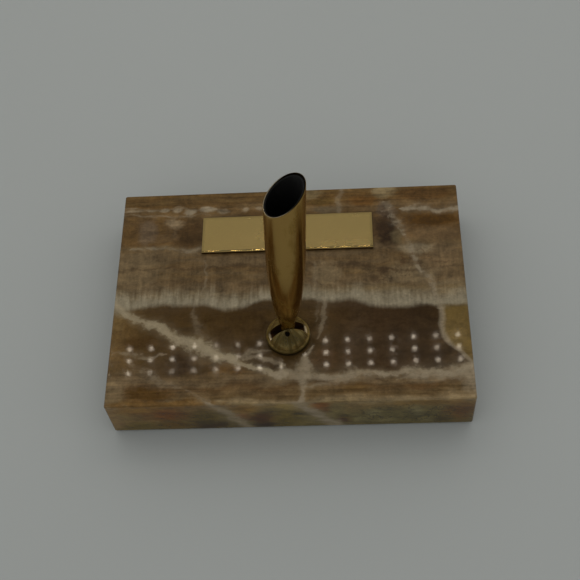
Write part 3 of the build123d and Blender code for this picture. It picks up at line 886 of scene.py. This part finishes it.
def lamp_finish(values):
    """Face of a small lamp."""
    glow = Finish("lamp_face")
    glow.shader.inputs["Emission Color"].default_value = (*LAMP_TINT, 1)
    glow.shader.inputs["Emission Strength"].default_value = values.lamp_glow
    return glow.done((0.8, 0.8, 0.8), 0.5)


def as_object(name, mesh, material):
    piece = bpy.data.objects.new(name, mesh)
    bpy.context.scene.collection.objects.link(piece)
    mesh.materials.append(material)
    return piece


def as_piece(name, shape, material, place=None):
    """Mesh object from a finished shape, with its place in its mesh."""
    bmesh.ops.recalc_face_normals(shape, faces=shape.faces)
    mesh = bpy.data.meshes.new(name)
    shape.to_mesh(mesh)
    shape.free()
    if place is not None:
        mesh.transform(place)
    return as_object(name, mesh, material)


def settle(piece):
    """Makes the shape that the modifiers give the piece's own mesh."""
    depsgraph = bpy.context.evaluated_depsgraph_get()
    mesh = bpy.data.meshes.new_from_object(piece.evaluated_get(depsgraph), depsgraph=depsgraph)
    piece.modifiers.clear()
    former = piece.data
    piece.data = mesh
    bpy.data.meshes.remove(former)
    mesh.name = piece.name


def smooth(piece, limit=radians(32)):
    """Soft shading, broken at edges sharper than the limit, with flat faces kept flat."""
    piece.data.shade_smooth()
    piece.data.set_sharp_from_angle(angle=limit)
    weighted = piece.modifiers.new("weighted", "WEIGHTED_NORMAL")
    weighted.keep_sharp = True
    settle(piece)


def cut(piece, shape, place=None):
    """Takes the shape away from the piece."""
    tool = as_piece("cutter", shape, None, place)
    boolean = piece.modifiers.new("cut", "BOOLEAN")
    boolean.operation = "DIFFERENCE"
    boolean.solver = "EXACT"
    boolean.object = tool
    settle(piece)
    mesh = tool.data
    bpy.data.objects.remove(tool)
    bpy.data.meshes.remove(mesh)


def turned(outline, segments):
    """Shape of revolution about Z from an outline of radius and height."""
    shape = bmesh.new()
    rings = []
    for radius, height in outline:
        if radius == 0:
            rings.append([shape.verts.new((0, 0, height))])
            continue
        turns = [2 * pi * k / segments for k in range(segments)]
        rings.append([shape.verts.new((radius * cos(t), radius * sin(t), height)) for t in turns])
    for lower, upper in zip(rings, rings[1:]):
        for k in range(segments):
            after = (k + 1) % segments
            corners = [lower[k % len(lower)], lower[after % len(lower)],
                       upper[after % len(upper)], upper[k % len(upper)]]
            shape.faces.new(list(dict.fromkeys(corners)))
    return shape


def arc(start, end, bulge, steps):
    """Points of the arc that stands bulge off its chord, to the right of the way from start to end."""
    start, end = Vector(start), Vector(end)
    way = end - start
    half = way.length / 2
    radius = (half * half + bulge * bulge) / (2 * bulge)
    ahead = way.normalized()
    out = Vector((ahead.y, -ahead.x))
    centre = (start + end) / 2 - out * (radius - bulge)
    spread = asin(min(1.0, half / radius))
    points = []
    for k in range(steps + 1):
        turn = spread * (2 * k / steps - 1)
        points.append(tuple(centre + radius * (out * cos(turn) + ahead * sin(turn))))
    return points


def rounded(start, end, radius, steps):
    """Quarter round of this radius between two points."""
    return arc(start, end, radius * (1 - sqrt(0.5)), steps)


def block(low, high):
    """Box between two corners."""
    shape = bmesh.new()
    bmesh.ops.create_cube(shape, size=1)
    low, high = Vector(low), Vector(high)
    bmesh.ops.scale(shape, vec=high - low, verts=shape.verts)
    bmesh.ops.translate(shape, vec=(low + high) / 2, verts=shape.verts)
    return shape


def rod(radius, low, high, segments=64):
    """Cylinder about Z between two heights."""
    return turned([(0, low), (radius, low), (radius, high), (0, high)], segments)


def eased(shape, edges, radius, segments):
    """Rounds these edges of a shape."""
    bmesh.ops.bevel(shape, geom=edges, offset=radius, segments=segments, profile=0.5, affect="EDGES")


def opened(piece):
    """Shape of a piece's mesh, to be worked on and put back."""
    shape = bmesh.new()
    shape.from_mesh(piece.data)
    return shape


def put_back(piece, shape):
    shape.to_mesh(piece.data)
    shape.free()


def dress(node, material):
    """Gives a carried-over solid its finish."""
    solid = frame["nodes"][node].data
    solid.materials.clear()
    solid.materials.append(material)


def stands_for(piece, body, slot, *nodes):
    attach(piece, body)
    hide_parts(*nodes)


class GeometryRule(Wiring):
    """Geometry Nodes tree with named inputs."""

    def __init__(self, name):
        super().__init__(bpy.data.node_groups.new(name, "GeometryNodeTree"))
        for way in ("INPUT", "OUTPUT"):
            self.tree.interface.new_socket("Geometry", in_out=way, socket_type="NodeSocketGeometry")
        self.start = self.add("NodeGroupInput")
        self.end = self.add("NodeGroupOutput")

    def inputs(self, **sizes):
        """Adds an input for each size and returns their sockets in order."""
        for name, value in sizes.items():
            kind = "NodeSocketInt" if isinstance(value, int) else "NodeSocketFloat"
            self.tree.interface.new_socket(name, in_out="INPUT", socket_type=kind)
        return [self.start.outputs[name] for name in sizes]

    def sized(self, piece, **sizes):
        """Puts the tree on a piece with these sizes."""
        modifier = piece.modifiers.new(self.tree.name, "NODES")
        modifier.node_group = self.tree
        for item in self.tree.interface.items_tree:
            if item.in_out == "INPUT" and item.name in sizes:
                modifier[item.identifier] = sizes[item.name]

    def grid(self, columns, rows):
        """Square sheet with corners at 0 and 1, as geometry, share along and share up."""
        sheet = self.add("GeometryNodeMeshGrid", {
            "Size X": 1.0, "Size Y": 1.0, "Vertices X": columns, "Vertices Y": rows})
        x, y, _ = self.split(self.add("GeometryNodeInputPosition").outputs[0])
        return sheet.outputs["Mesh"], self.plus(x, 0.5), self.plus(y, 0.5)

    def moved(self, geometry, position):
        return self.add("GeometryNodeSetPosition", {"Geometry": geometry, "Position": position}).outputs[0]

    def rolled(self, sheet, radius, turn, height):
        """Sheet rolled about Z at these radii, turns and heights, with its seam closed."""
        place = self.join(self.times(radius, self.math("COSINE", turn)),
                          self.times(radius, self.math("SINE", turn)), height)
        feeds = {"Geometry": self.moved(sheet, place), "Distance": WELD_REACH}
        return self.add("GeometryNodeMergeByDistance", feeds).outputs[0]

    def finished(self, geometry, material):
        """Ends the tree with real geometry in its material."""
        real = self.add("GeometryNodeRealizeInstances", {"Geometry": geometry})
        painted = self.add("GeometryNodeSetMaterial", {"Geometry": real.outputs[0], "Material": material})
        self.feed(self.end.inputs[0], painted.outputs[0])


def from_rule(name, rule, material, **sizes):
    """Piece whose mesh comes from a Geometry Nodes tree."""
    piece = as_object(name, bpy.data.meshes.new(name), material)
    rule.sized(piece, **sizes)
    settle(piece)
    return piece


def funnel_rule(material):
    """Sheet turned about Z: cone, long taper and straight tube, up to a slanted mouth."""
    rule = GeometryRule("turned_funnel")
    (tube, taper_top, shoulder_height, shoulder, blend, low, neck_height, neck, mouth, slope,
     columns, rows) = rule.inputs(
        tube_radius=0.0, taper_top=0.0, shoulder_height=0.0, shoulder_radius=0.0, shoulder_blend=0.0,
        low_end=0.0, neck_height=0.0, neck_radius=0.0, mouth_height=0.0, mouth_slope=0.0, segments=1, rows=1)
    sheet, around, upward = rule.grid(rule.plus(columns, 1), rows)
    turn = rule.times(around, 2 * pi)
    height = rule.times_plus(upward, rule.minus(mouth, low), low)
    tip = rule.times(tube, slope, rule.math("COSINE", turn))
    height = rule.times_plus(tip, rule.step(upward, SLANT_START, 1.0), height)
    gain = rule.over(rule.minus(shoulder, neck), rule.minus(shoulder_height, neck_height))
    cone = rule.times_plus(rule.minus(height, neck_height), gain, neck)
    drop = rule.minus(tube, shoulder)
    rise = rule.minus(taper_top, shoulder_height)
    sweep = rule.over(rule.plus(rule.times(drop, drop), rule.times(rise, rise)), rule.times(drop, 2))
    short = rule.math("MINIMUM", rule.minus(height, taper_top), 0)
    chord = rule.math("SQRT", rule.minus(rule.times(sweep, sweep), rule.times(short, short)))
    taper = rule.minus(tube, rule.minus(sweep, chord))
    radius = rule.math("SMOOTH_MIN", cone, taper, blend)
    rule.finished(rule.rolled(sheet, radius, turn, height), material)
    return rule


def thread_rule(material):
    """Rod about Z with a helical thread that runs out at both ends."""
    rule = GeometryRule("threaded_rod")
    outer, depth, pitch, low, high, taper, columns, rows = rule.inputs(
        radius=0.0, thread_depth=0.0, pitch=0.0, low_end=0.0, high_end=0.0, end_taper=0.0, segments=1, rows=1)
    sheet, around, upward = rule.grid(rule.plus(columns, 1), rows)
    height = rule.times_plus(upward, rule.minus(high, low), low)
    phase = rule.minus(rule.over(rule.minus(height, low), pitch), around)
    groove = rule.times(rule.math("PINGPONG", phase, 0.5), 2)
    groove = rule.times(rule.step(groove, 0.12, 0.88), depth)
    end_gap = rule.math("MINIMUM", rule.minus(height, low), rule.minus(high, height))
    most = rule.plus(rule.minus(outer, depth), rule.times(depth, rule.over(end_gap, taper)))
    radius = rule.math("MINIMUM", rule.minus(outer, groove), most)
    rule.finished(rule.rolled(sheet, radius, rule.times(around, 2 * pi), height), material)
    return rule


def felt_rule(material):
    """Uneven nap all over a pad and loose bent fibres round its edge."""
    rule = GeometryRule("felt_nap")
    nap, fibre_length, density, low, high, seed = rule.inputs(
        nap=0.0, fibre_length=0.0, fibre_density=0.0, underside=0.0, upper_side=0.0, seed=0)
    position = rule.add("GeometryNodeInputPosition").outputs[0]
    normal = rule.add("GeometryNodeInputNormal").outputs[0]
    sink = rule.times(rule.minus(rule.noise(position, scale=NAP_SCALE), 1.0), nap)
    pad = rule.add("GeometryNodeSetPosition", {
        "Geometry": rule.start.outputs[0], "Offset": rule.vector("SCALE", normal, scale=sink)}).outputs[0]
    _, _, lift = rule.split(normal)
    edge = rule.math("LESS_THAN", rule.magnitude(lift), 0.8)
    points = rule.add("GeometryNodeDistributePointsOnFaces", {
        "Mesh": pad, "Selection": edge, "Density": density, "Seed": seed})
    # One three-sided bent fibre, about as long as 1, to be scaled at each point
    bend = rule.add("GeometryNodeCurveQuadraticBezier", {
        "Resolution": 4, "Start": (0, 0, -0.2), "Middle": (0.15, 0.3, 0.5), "End": (0.7, 0.1, 0.35)})
    wire = rule.add("GeometryNodeCurvePrimitiveCircle", {"Resolution": 3, "Radius": 0.022})
    fibre = rule.add("GeometryNodeCurveToMesh", {"Curve": bend.outputs[0], "Profile Curve": wire.outputs[0]})
    spin = rule.add("FunctionNodeRandomValue", {3: 2 * pi, "Seed": seed}, data_type="FLOAT")
    size = rule.add("FunctionNodeRandomValue", {
        2: rule.times(fibre_length, 0.4), 3: fibre_length, "Seed": rule.plus(seed, 7)}, data_type="FLOAT")
    about = rule.add("FunctionNodeAxisAngleToRotation", {"Angle": spin.outputs[1]})
    turned_round = rule.add("FunctionNodeRotateRotation", {
        0: points.outputs["Rotation"], 1: about.outputs[0]}, rotation_space="LOCAL")
    scatter = rule.add("GeometryNodeInstanceOnPoints", {
        "Points": points.outputs["Points"], "Instance": fibre.outputs[0],
        "Rotation": turned_round.outputs[0], "Scale": size.outputs[1]})
    loose = rule.add("GeometryNodeRealizeInstances", {"Geometry": scatter.outputs[0]})
    x, y, z = rule.split(position)
    pressed = rule.join(x, y, rule.math("MINIMUM", rule.math("MAXIMUM", z, low), high))
    both = rule.add("GeometryNodeJoinGeometry")
    for part in (pad, rule.moved(loose.outputs[0], pressed)):
        rule.feed(both.inputs[0], part)
    rule.finished(both.outputs[0], material)
    return rule


def lamp_rule(material):
    """Rows of small round lamps that face down."""
    rule = GeometryRule("lamp_rows")
    columns, rows, pitch, row_pitch, radius = rule.inputs(
        columns=1, rows=1, pitch=0.0, row_pitch=0.0, radius=0.0)
    sheet = rule.add("GeometryNodeMeshGrid", {
        "Vertices X": columns, "Size X": rule.times(pitch, rule.minus(columns, 1)),
        "Vertices Y": rows, "Size Y": rule.times(row_pitch, rule.minus(rows, 1))})
    disc = rule.add("GeometryNodeMeshCircle", {"Vertices": 16, "Radius": radius}, fill_type="NGON")
    scatter = rule.add("GeometryNodeInstanceOnPoints", {
        "Points": sheet.outputs["Mesh"], "Instance": disc.outputs[0]})
    rule.finished(scatter.outputs[0], material)
    return rule


class PENSTAND_OT_slab(Operator):
    """Polished stone slab, drilled for the stud and counterbored from below"""
    bl_idname = "penstand.slab"
    bl_label = "Stone Slab"

    def execute(self, context):
        values = context.scene.pen_stand.slab
        shape = block(slab_low, slab_high)
        eased(shape, list(shape.edges), values.edge_radius, 5)
        slab = as_piece("stone_slab", shape, onyx_finish(values))
        place = Matrix.Translation((swivel_base.x, swivel_base.y, slab_low.z))
        through, depth = 2 * (slab_high.z - slab_low.z), values.counterbore_depth
        cut(slab, rod(values.hole_radius, -depth, through), place)
        cut(slab, rod(values.counterbore_radius, -depth, depth), place)
        smooth(slab)
        stands_for(slab, "base", "onyx", "onyx_slab")
        return {"FINISHED"}


class PENSTAND_OT_name_plate(Operator):
    """Blank gold name plate with rolled edges, on its mounting tape"""
    bl_idname = "penstand.name_plate"
    bl_label = "Name Plate"

    def execute(self, context):
        values = context.scene.pen_stand.plate
        shape = block(plate_low, plate_high)
        # The long edges are rounded on a plate drawn taller, which makes them wide and shallow
        flatter = Matrix.Diagonal((1, 1, values.edge_radius / values.roll))
        steeper = Matrix.Translation(plate_low) @ flatter.inverted().to_4x4() @ Matrix.Translation(-plate_low)
        bmesh.ops.transform(shape, matrix=steeper, verts=shape.verts)
        middle = (plate_low.x + plate_high.x) / 2
        corners = [(edge, edge.verts[0].co, edge.verts[1].co) for edge in shape.edges]
        lengthways = [edge for edge, a, b in corners
                      if a.z + b.z > 2 * plate_high.z and abs(a.x + b.x - 2 * middle) < MM]
        eased(shape, lengthways, values.roll, 16)
        bmesh.ops.transform(shape, matrix=steeper.inverted(), verts=shape.verts)
        corners = [(edge, edge.verts[0].co, edge.verts[1].co) for edge in shape.edges]
        ends = [edge for edge, a, b in corners
                if abs(a.x - b.x) < MM / 10000 and min(a.z, b.z) > plate_low.z + MM / 10]
        eased(shape, ends, values.end_radius, 3)
        plate = as_piece("gold_plate", shape, plate_finish(values))
        smooth(plate)
        stands_for(plate, "base", "plate_brass", "name_plate")
        fasteners = context.scene.pen_stand.fasteners
        dress("plate_adhesive", pressed_finish("mounting_tape", fasteners.tape, 0.3, 0.04 * MM))
        return {"FINISHED"}


class PENSTAND_OT_swivel(Operator):
    """Slotted brass dome with its pin, thin washers and set screw"""
    bl_idname = "penstand.swivel"
    bl_label = "Swivel"

    def execute(self, context):
        values = context.scene.pen_stand.swivel
        fasteners = context.scene.pen_stand.fasteners
        skirt, edge, high = values.skirt_radius, values.skirt_edge, values.skirt_height
        outline = [(0, 0)]
        outline += rounded((skirt - edge, 0), (skirt, edge), edge, EDGE_STEPS)
        outline += rounded((skirt, high - edge), (skirt - edge, high), edge, EDGE_STEPS)
        root, tip = (values.root_radius, high), (values.tip_radius, values.height)
        outline += arc(root, tip, values.bulge, DOME_STEPS)
        outline += [(0, values.height)]
        brass = dome_finish(context.scene.pen_stand.funnel, values)
        dome = as_piece("swivel_dome_brass", turned(outline, values.segments), brass)
        reach, half_slot = 2 * skirt, values.slot_width / 2
        cut(dome, block((-reach, -half_slot, values.slot_floor), (reach, half_slot, reach)))
        cross = Matrix.Translation((0, 0, pivot_height)) @ Matrix.Rotation(-pi / 2, 4, "X")
        cut(dome, rod(values.pin_hole, -values.pin_front, reach, HOLE_FACETS), cross)
        seat = Matrix.Translation((0, -values.screw_reach, pivot_height))
        slope = Matrix.Rotation(-values.screw_slope, 4, "Y")
        cut(dome, rod(values.screw_hole, 0, reach, HOLE_FACETS), seat @ slope)
        cut(dome, rod(values.stud_hole, -reach, values.stud_depth, SOCKET_FACETS))
        dome.data.transform(swivel_place)
        smooth(dome)
        stands_for(dome, "swivel", "brass", "swivel_dome")
        dress("pivot_pin", steel_finish("pin_steel", fasteners.dark, 0.3))
        dress("pin_set_screw", steel_finish("screw_steel", fasteners.dark, 0.35))
        dress("friction_washers", steel_finish("washer_bronze", fasteners.bronze, 0.3))
        dress("seat_washer", pressed_finish("pressed_fibre", fasteners.fibre, 0.5, 0.03 * MM))
        return {"FINISHED"}


class PENSTAND_OT_funnel(Operator):
    """Spun brass funnel with its slanted mouth, black sleeve and tongue"""
    bl_idname = "penstand.funnel"
    bl_label = "Funnel"

    def execute(self, context):
        values = context.scene.pen_stand.funnel
        brass = funnel_finish(values)
        black = plastic_finish(context.scene.pen_stand.fasteners)
        sizes = dict(taper_top=values.taper_top, shoulder_height=values.shoulder_height,
                     shoulder_blend=values.shoulder_blend, neck_height=values.neck_height,
                     mouth_slope=tan(values.mouth_slant), segments=values.segments)
        shell = from_rule("funnel_brass_shell", funnel_rule(brass), brass, rows=values.rows,
                          tube_radius=values.tube_radius, shoulder_radius=values.shoulder_radius,
                          neck_radius=values.neck_radius, low_end=values.neck_height,
                          mouth_height=values.mouth_height, **sizes)
        self.thicken(shell, values.wall)
        self.soften(shell, values.lip)
        inset = values.wall + values.liner_gap
        sleeve = from_rule("funnel_sleeve", funnel_rule(black), black, rows=values.rows // 2,
                           tube_radius=values.tube_radius - inset,
                           shoulder_radius=values.shoulder_radius - inset,
                           neck_radius=values.neck_radius - inset, low_end=values.liner_floor,
                           mouth_height=values.mouth_height - values.liner_recess, **sizes)
        self.close_bottom(sleeve, values.liner_floor)
        self.thicken(sleeve, values.liner_wall)
        self.soften(sleeve, values.lip)
        for piece in (shell, sleeve):
            piece.data.transform(funnel_place)
            smooth(piece)
        stands_for(shell, "funnel", "brass", "funnel_shell")
        stands_for(sleeve, "funnel", "black_plastic", "socket_liner")
        dress("funnel_tongue", tongue_finish(values))
        return {"FINISHED"}

    @staticmethod
    def close_bottom(piece, height):
        """Floor across the lowest ring."""
        shape = opened(piece)
        ring = [edge for edge in shape.edges
                if edge.is_boundary and max(v.co.z for v in edge.verts) < height + MM]
        bmesh.ops.contextual_create(shape, geom=ring)
        put_back(piece, shape)

    @staticmethod
    def thicken(piece, wall):
        """Wall to the inside of a turned sheet."""
        shape = opened(piece)
        bmesh.ops.recalc_face_normals(shape, faces=shape.faces)
        sample = next(face for face in shape.faces if abs(face.normal.z) < 0.5)
        if sample.normal.dot(sample.calc_center_median() * Vector((1, 1, 0))) < 0:
            bmesh.ops.reverse_faces(shape, faces=shape.faces)
        put_back(piece, shape)
        solid = piece.modifiers.new("wall", "SOLIDIFY")
        solid.thickness = wall
        solid.offset = -1
        solid.use_even_offset = True
        settle(piece)

    @staticmethod
    def soften(piece, radius):
        """Rounds the edges of the mouth and the neck."""
        bevel = piece.modifiers.new("lip", "BEVEL")
        bevel.width = radius
        bevel.segments = 3
        bevel.limit_method = "ANGLE"
        bevel.angle_limit = radians(40)
        settle(piece)


class PENSTAND_OT_fasteners(Operator):
    """Threaded stud with its nuts and washers under the slab"""
    bl_idname = "penstand.fasteners"
    bl_label = "Fasteners"

    def execute(self, context):
        values = context.scene.pen_stand.fasteners
        zinc = steel_finish("zinc_steel", values.zinc, 0.22)
        low, high = stud_low.z - swivel_base.z, stud_high.z - swivel_base.z
        radius = (stud_high.x - stud_low.x) / 2
        stud = from_rule("threaded_stud", thread_rule(zinc), zinc, radius=radius, thread_depth=values.depth,
                         pitch=values.pitch, low_end=low, high_end=high, end_taper=values.end_taper,
                         segments=values.segments, rows=values.rows)
        shape = opened(stud)
        bmesh.ops.holes_fill(shape, edges=[edge for edge in shape.edges if edge.is_boundary], sides=0)
        bmesh.ops.recalc_face_normals(shape, faces=shape.faces)
        put_back(stud, shape)
        stud.data.transform(swivel_place)
        smooth(stud, radians(50))
        stands_for(stud, "swivel", "steel", "mounting_stud")
        for node in ("flat_washer", "spring_washer", "tension_nut", "lock_nut"):
            dress(node, zinc)
        return {"FINISHED"}


class PENSTAND_OT_felt_pads(Operator):
    """Four felt pads under the slab's corners"""
    bl_idname = "penstand.felt_pads"
    bl_label = "Felt Pads"

    def execute(self, context):
        values = context.scene.pen_stand.pads
        felt = pressed_finish("wool_felt", values.felt, 0.35, 0.06 * MM)
        rule = felt_rule(felt)
        for number, end in enumerate(("front_left", "front_right", "rear_left", "rear_right")):
            low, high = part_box(f"felt_pad_{end}")
            radius, thick = (high.x - low.x) / 2, high.z - low.z
            edge = values.edge_radius
            rings = [(radius - edge) * k / values.rings for k in range(values.rings)]
            outline = [(ring, 0) for ring in rings]
            outline += rounded((radius - edge, 0), (radius, edge), edge, EDGE_STEPS)
            outline += rounded((radius, thick - edge), (radius - edge, thick), edge, EDGE_STEPS)
            outline += [(ring, thick) for ring in reversed(rings)]
            middle = Matrix.Translation(((low.x + high.x) / 2, (low.y + high.y) / 2, low.z))
            pad = as_piece(f"felt_{end}", turned(outline, values.segments), felt, middle)
            rule.sized(pad, nap=values.nap, fibre_length=values.fibre_length, seed=number + 3,
                       fibre_density=values.fibre_density, underside=low.z, upper_side=high.z)
            settle(pad)
            pad.data.shade_smooth()
            stands_for(pad, "base", "felt", f"felt_pad_{end}")
        return {"FINISHED"}


class PENSTAND_OT_stage(Operator):
    """Paper floor, even light, rows of small lamps and the camera"""
    bl_idname = "penstand.stage"
    bl_label = "Stage"

    def execute(self, context):
        values = context.scene.pen_stand.stage
        context.scene.view_settings.view_transform = "Standard"
        self.paper(values)
        self.surroundings(context.scene, values)
        self.lamps(values)
        self.soft_box(context.scene, values)
        self.camera(context.scene, values)
        return {"FINISHED"}

    @staticmethod
    def paper(values):
        shape = bmesh.new()
        bmesh.ops.create_grid(shape, x_segments=8, y_segments=8, size=values.floor_reach)
        as_piece("floor_sheet", shape, sheet_finish("floor_paper", values.floor, 0.004, 0.96))

    @staticmethod
    def surroundings(scene, values):
        """Even light for matt faces; for polished ones a pale room that is darker in front."""
        world = bpy.data.worlds.new("surroundings")
        scene.world = world
        world.use_nodes = True
        wires = Wiring(world.node_tree)
        even = world.node_tree.nodes["Background"]
        wires.feed(even.inputs["Color"], (1, 1, 1))
        wires.feed(even.inputs["Strength"], values.sky)
        _, back, high = wires.split(wires.add("ShaderNodeTexCoord").outputs["Generated"])
        turn = wires.step(wires.times_plus(high, 0.35, back), -0.45, 0.25)
        room = wires.add("ShaderNodeBackground", {"Color": wires.blend(turn, values.dim, values.backdrop)})
        paper_tone = wires.add("ShaderNodeBackground", {"Color": values.horizon})
        path = wires.add("ShaderNodeLightPath").outputs
        mirrored = wires.math("MAXIMUM", path["Is Glossy Ray"], path["Is Transmission Ray"])
        lit = wires.add("ShaderNodeMixShader", {0: mirrored, 1: even.outputs[0], 2: room.outputs[0]})
        seen = wires.add("ShaderNodeMixShader", {
            0: path["Is Camera Ray"], 1: lit.outputs[0], 2: paper_tone.outputs[0]})
        wires.feed(world.node_tree.nodes["World Output"].inputs["Surface"], seen.outputs[0])

    @staticmethod
    def lamps(values):
        """Rows of small lamps on a dark board; cameras see neither."""
        face = lamp_finish(values)
        rows = from_rule("lamp_rows", lamp_rule(face), face, columns=values.lamp_columns,
                         rows=values.lamp_rows, pitch=values.lamp_pitch, row_pitch=values.row_pitch,
                         radius=values.lamp_radius)
        middle = Vector(values.lamp_middle)
        middle.y -= values.row_pitch * (values.lamp_rows - 1) / 2
        middle.z += slab_high.z + values.lamp_height
        rows.data.transform(Matrix.Translation(middle) @ Matrix.Rotation(values.lamp_turn, 4, "Z"))
        reach = Vector((values.board_length / 2, values.board_width / 2, values.board_thickness / 2))
        above = middle + Vector((0, 0, values.board_gap + values.board_thickness / 2))
        paint = sheet_finish("lamp_board", values.board, 0.02, 0.8)
        board = as_piece("lamp_board", block(above - reach, above + reach), paint)
        for item in (rows, board):
            item.visible_camera = False
        board.visible_diffuse = False
        board.visible_shadow = False

    @staticmethod
    def soft_box(scene, values):
        """Broad lamp that polished faces don't show."""
        light = bpy.data.lights.new("soft_box", "AREA")
        light.shape = "RECTANGLE"
        light.size = values.soft_box_length
        light.size_y = values.soft_box_width
        light.energy = values.soft_box
        lamp = bpy.data.objects.new("soft_box", light)
        lamp.location = values.soft_box_place
        way = Vector((0, 0, slab_high.z)) - lamp.location
        lamp.rotation_euler = way.to_track_quat("-Z", "Y").to_euler()
        lamp.visible_glossy = False
        scene.collection.objects.link(lamp)

    @staticmethod
    def camera(scene, values):
        view = bpy.data.cameras.new("camera")
        view.lens = values.lens
        view.clip_start = 10 * MM
        camera = bpy.data.objects.new("camera", view)
        camera.location = values.eye
        look = (Vector(values.target) - Vector(values.eye)).to_track_quat("-Z", "Y")
        camera.rotation_mode = "QUATERNION"
        camera.rotation_quaternion = look @ Quaternion((0, 0, 1), values.roll)
        scene.collection.objects.link(camera)
        scene.camera = camera


class PENSTAND_PT_sidebar(Panel):
    bl_idname = "PENSTAND_PT_sidebar"
    bl_label = "Pen Stand"
    bl_space_type = "VIEW_3D"
    bl_region_type = "UI"
    bl_category = "Pen Stand"

    def draw(self, context):
        settings = context.scene.pen_stand
        for operator, group in STEPS:
            box = self.layout.box()
            box.operator(operator.bl_idname)
            for name in getattr(settings, group).__annotations__:
                box.prop(getattr(settings, group), name)


# Each step with the settings that the sidebar lists under it
STEPS = (
    (PENSTAND_OT_stage, "stage"),
    (PENSTAND_OT_slab, "slab"),
    (PENSTAND_OT_name_plate, "plate"),
    (PENSTAND_OT_swivel, "swivel"),
    (PENSTAND_OT_funnel, "funnel"),
    (PENSTAND_OT_fasteners, "fasteners"),
    (PENSTAND_OT_felt_pads, "pads"),
)
CLASSES = (
    SlabSettings, PlateSettings, SwivelSettings, FunnelSettings, FastenerSettings, PadSettings,
    StageSettings, PenStandSettings, *(operator for operator, _ in STEPS), PENSTAND_PT_sidebar,
)


def register():
    for entry in CLASSES:
        bpy.utils.register_class(entry)
    bpy.types.Scene.pen_stand = PointerProperty(type=PenStandSettings)


def unregister():
    del bpy.types.Scene.pen_stand
    for entry in reversed(CLASSES):
        bpy.utils.unregister_class(entry)


def main():
    register()
    for operator, _ in STEPS:
        group, name = operator.bl_idname.split(".")
        getattr(getattr(bpy.ops, group), name)()


if __name__ == "__main__":
    main()
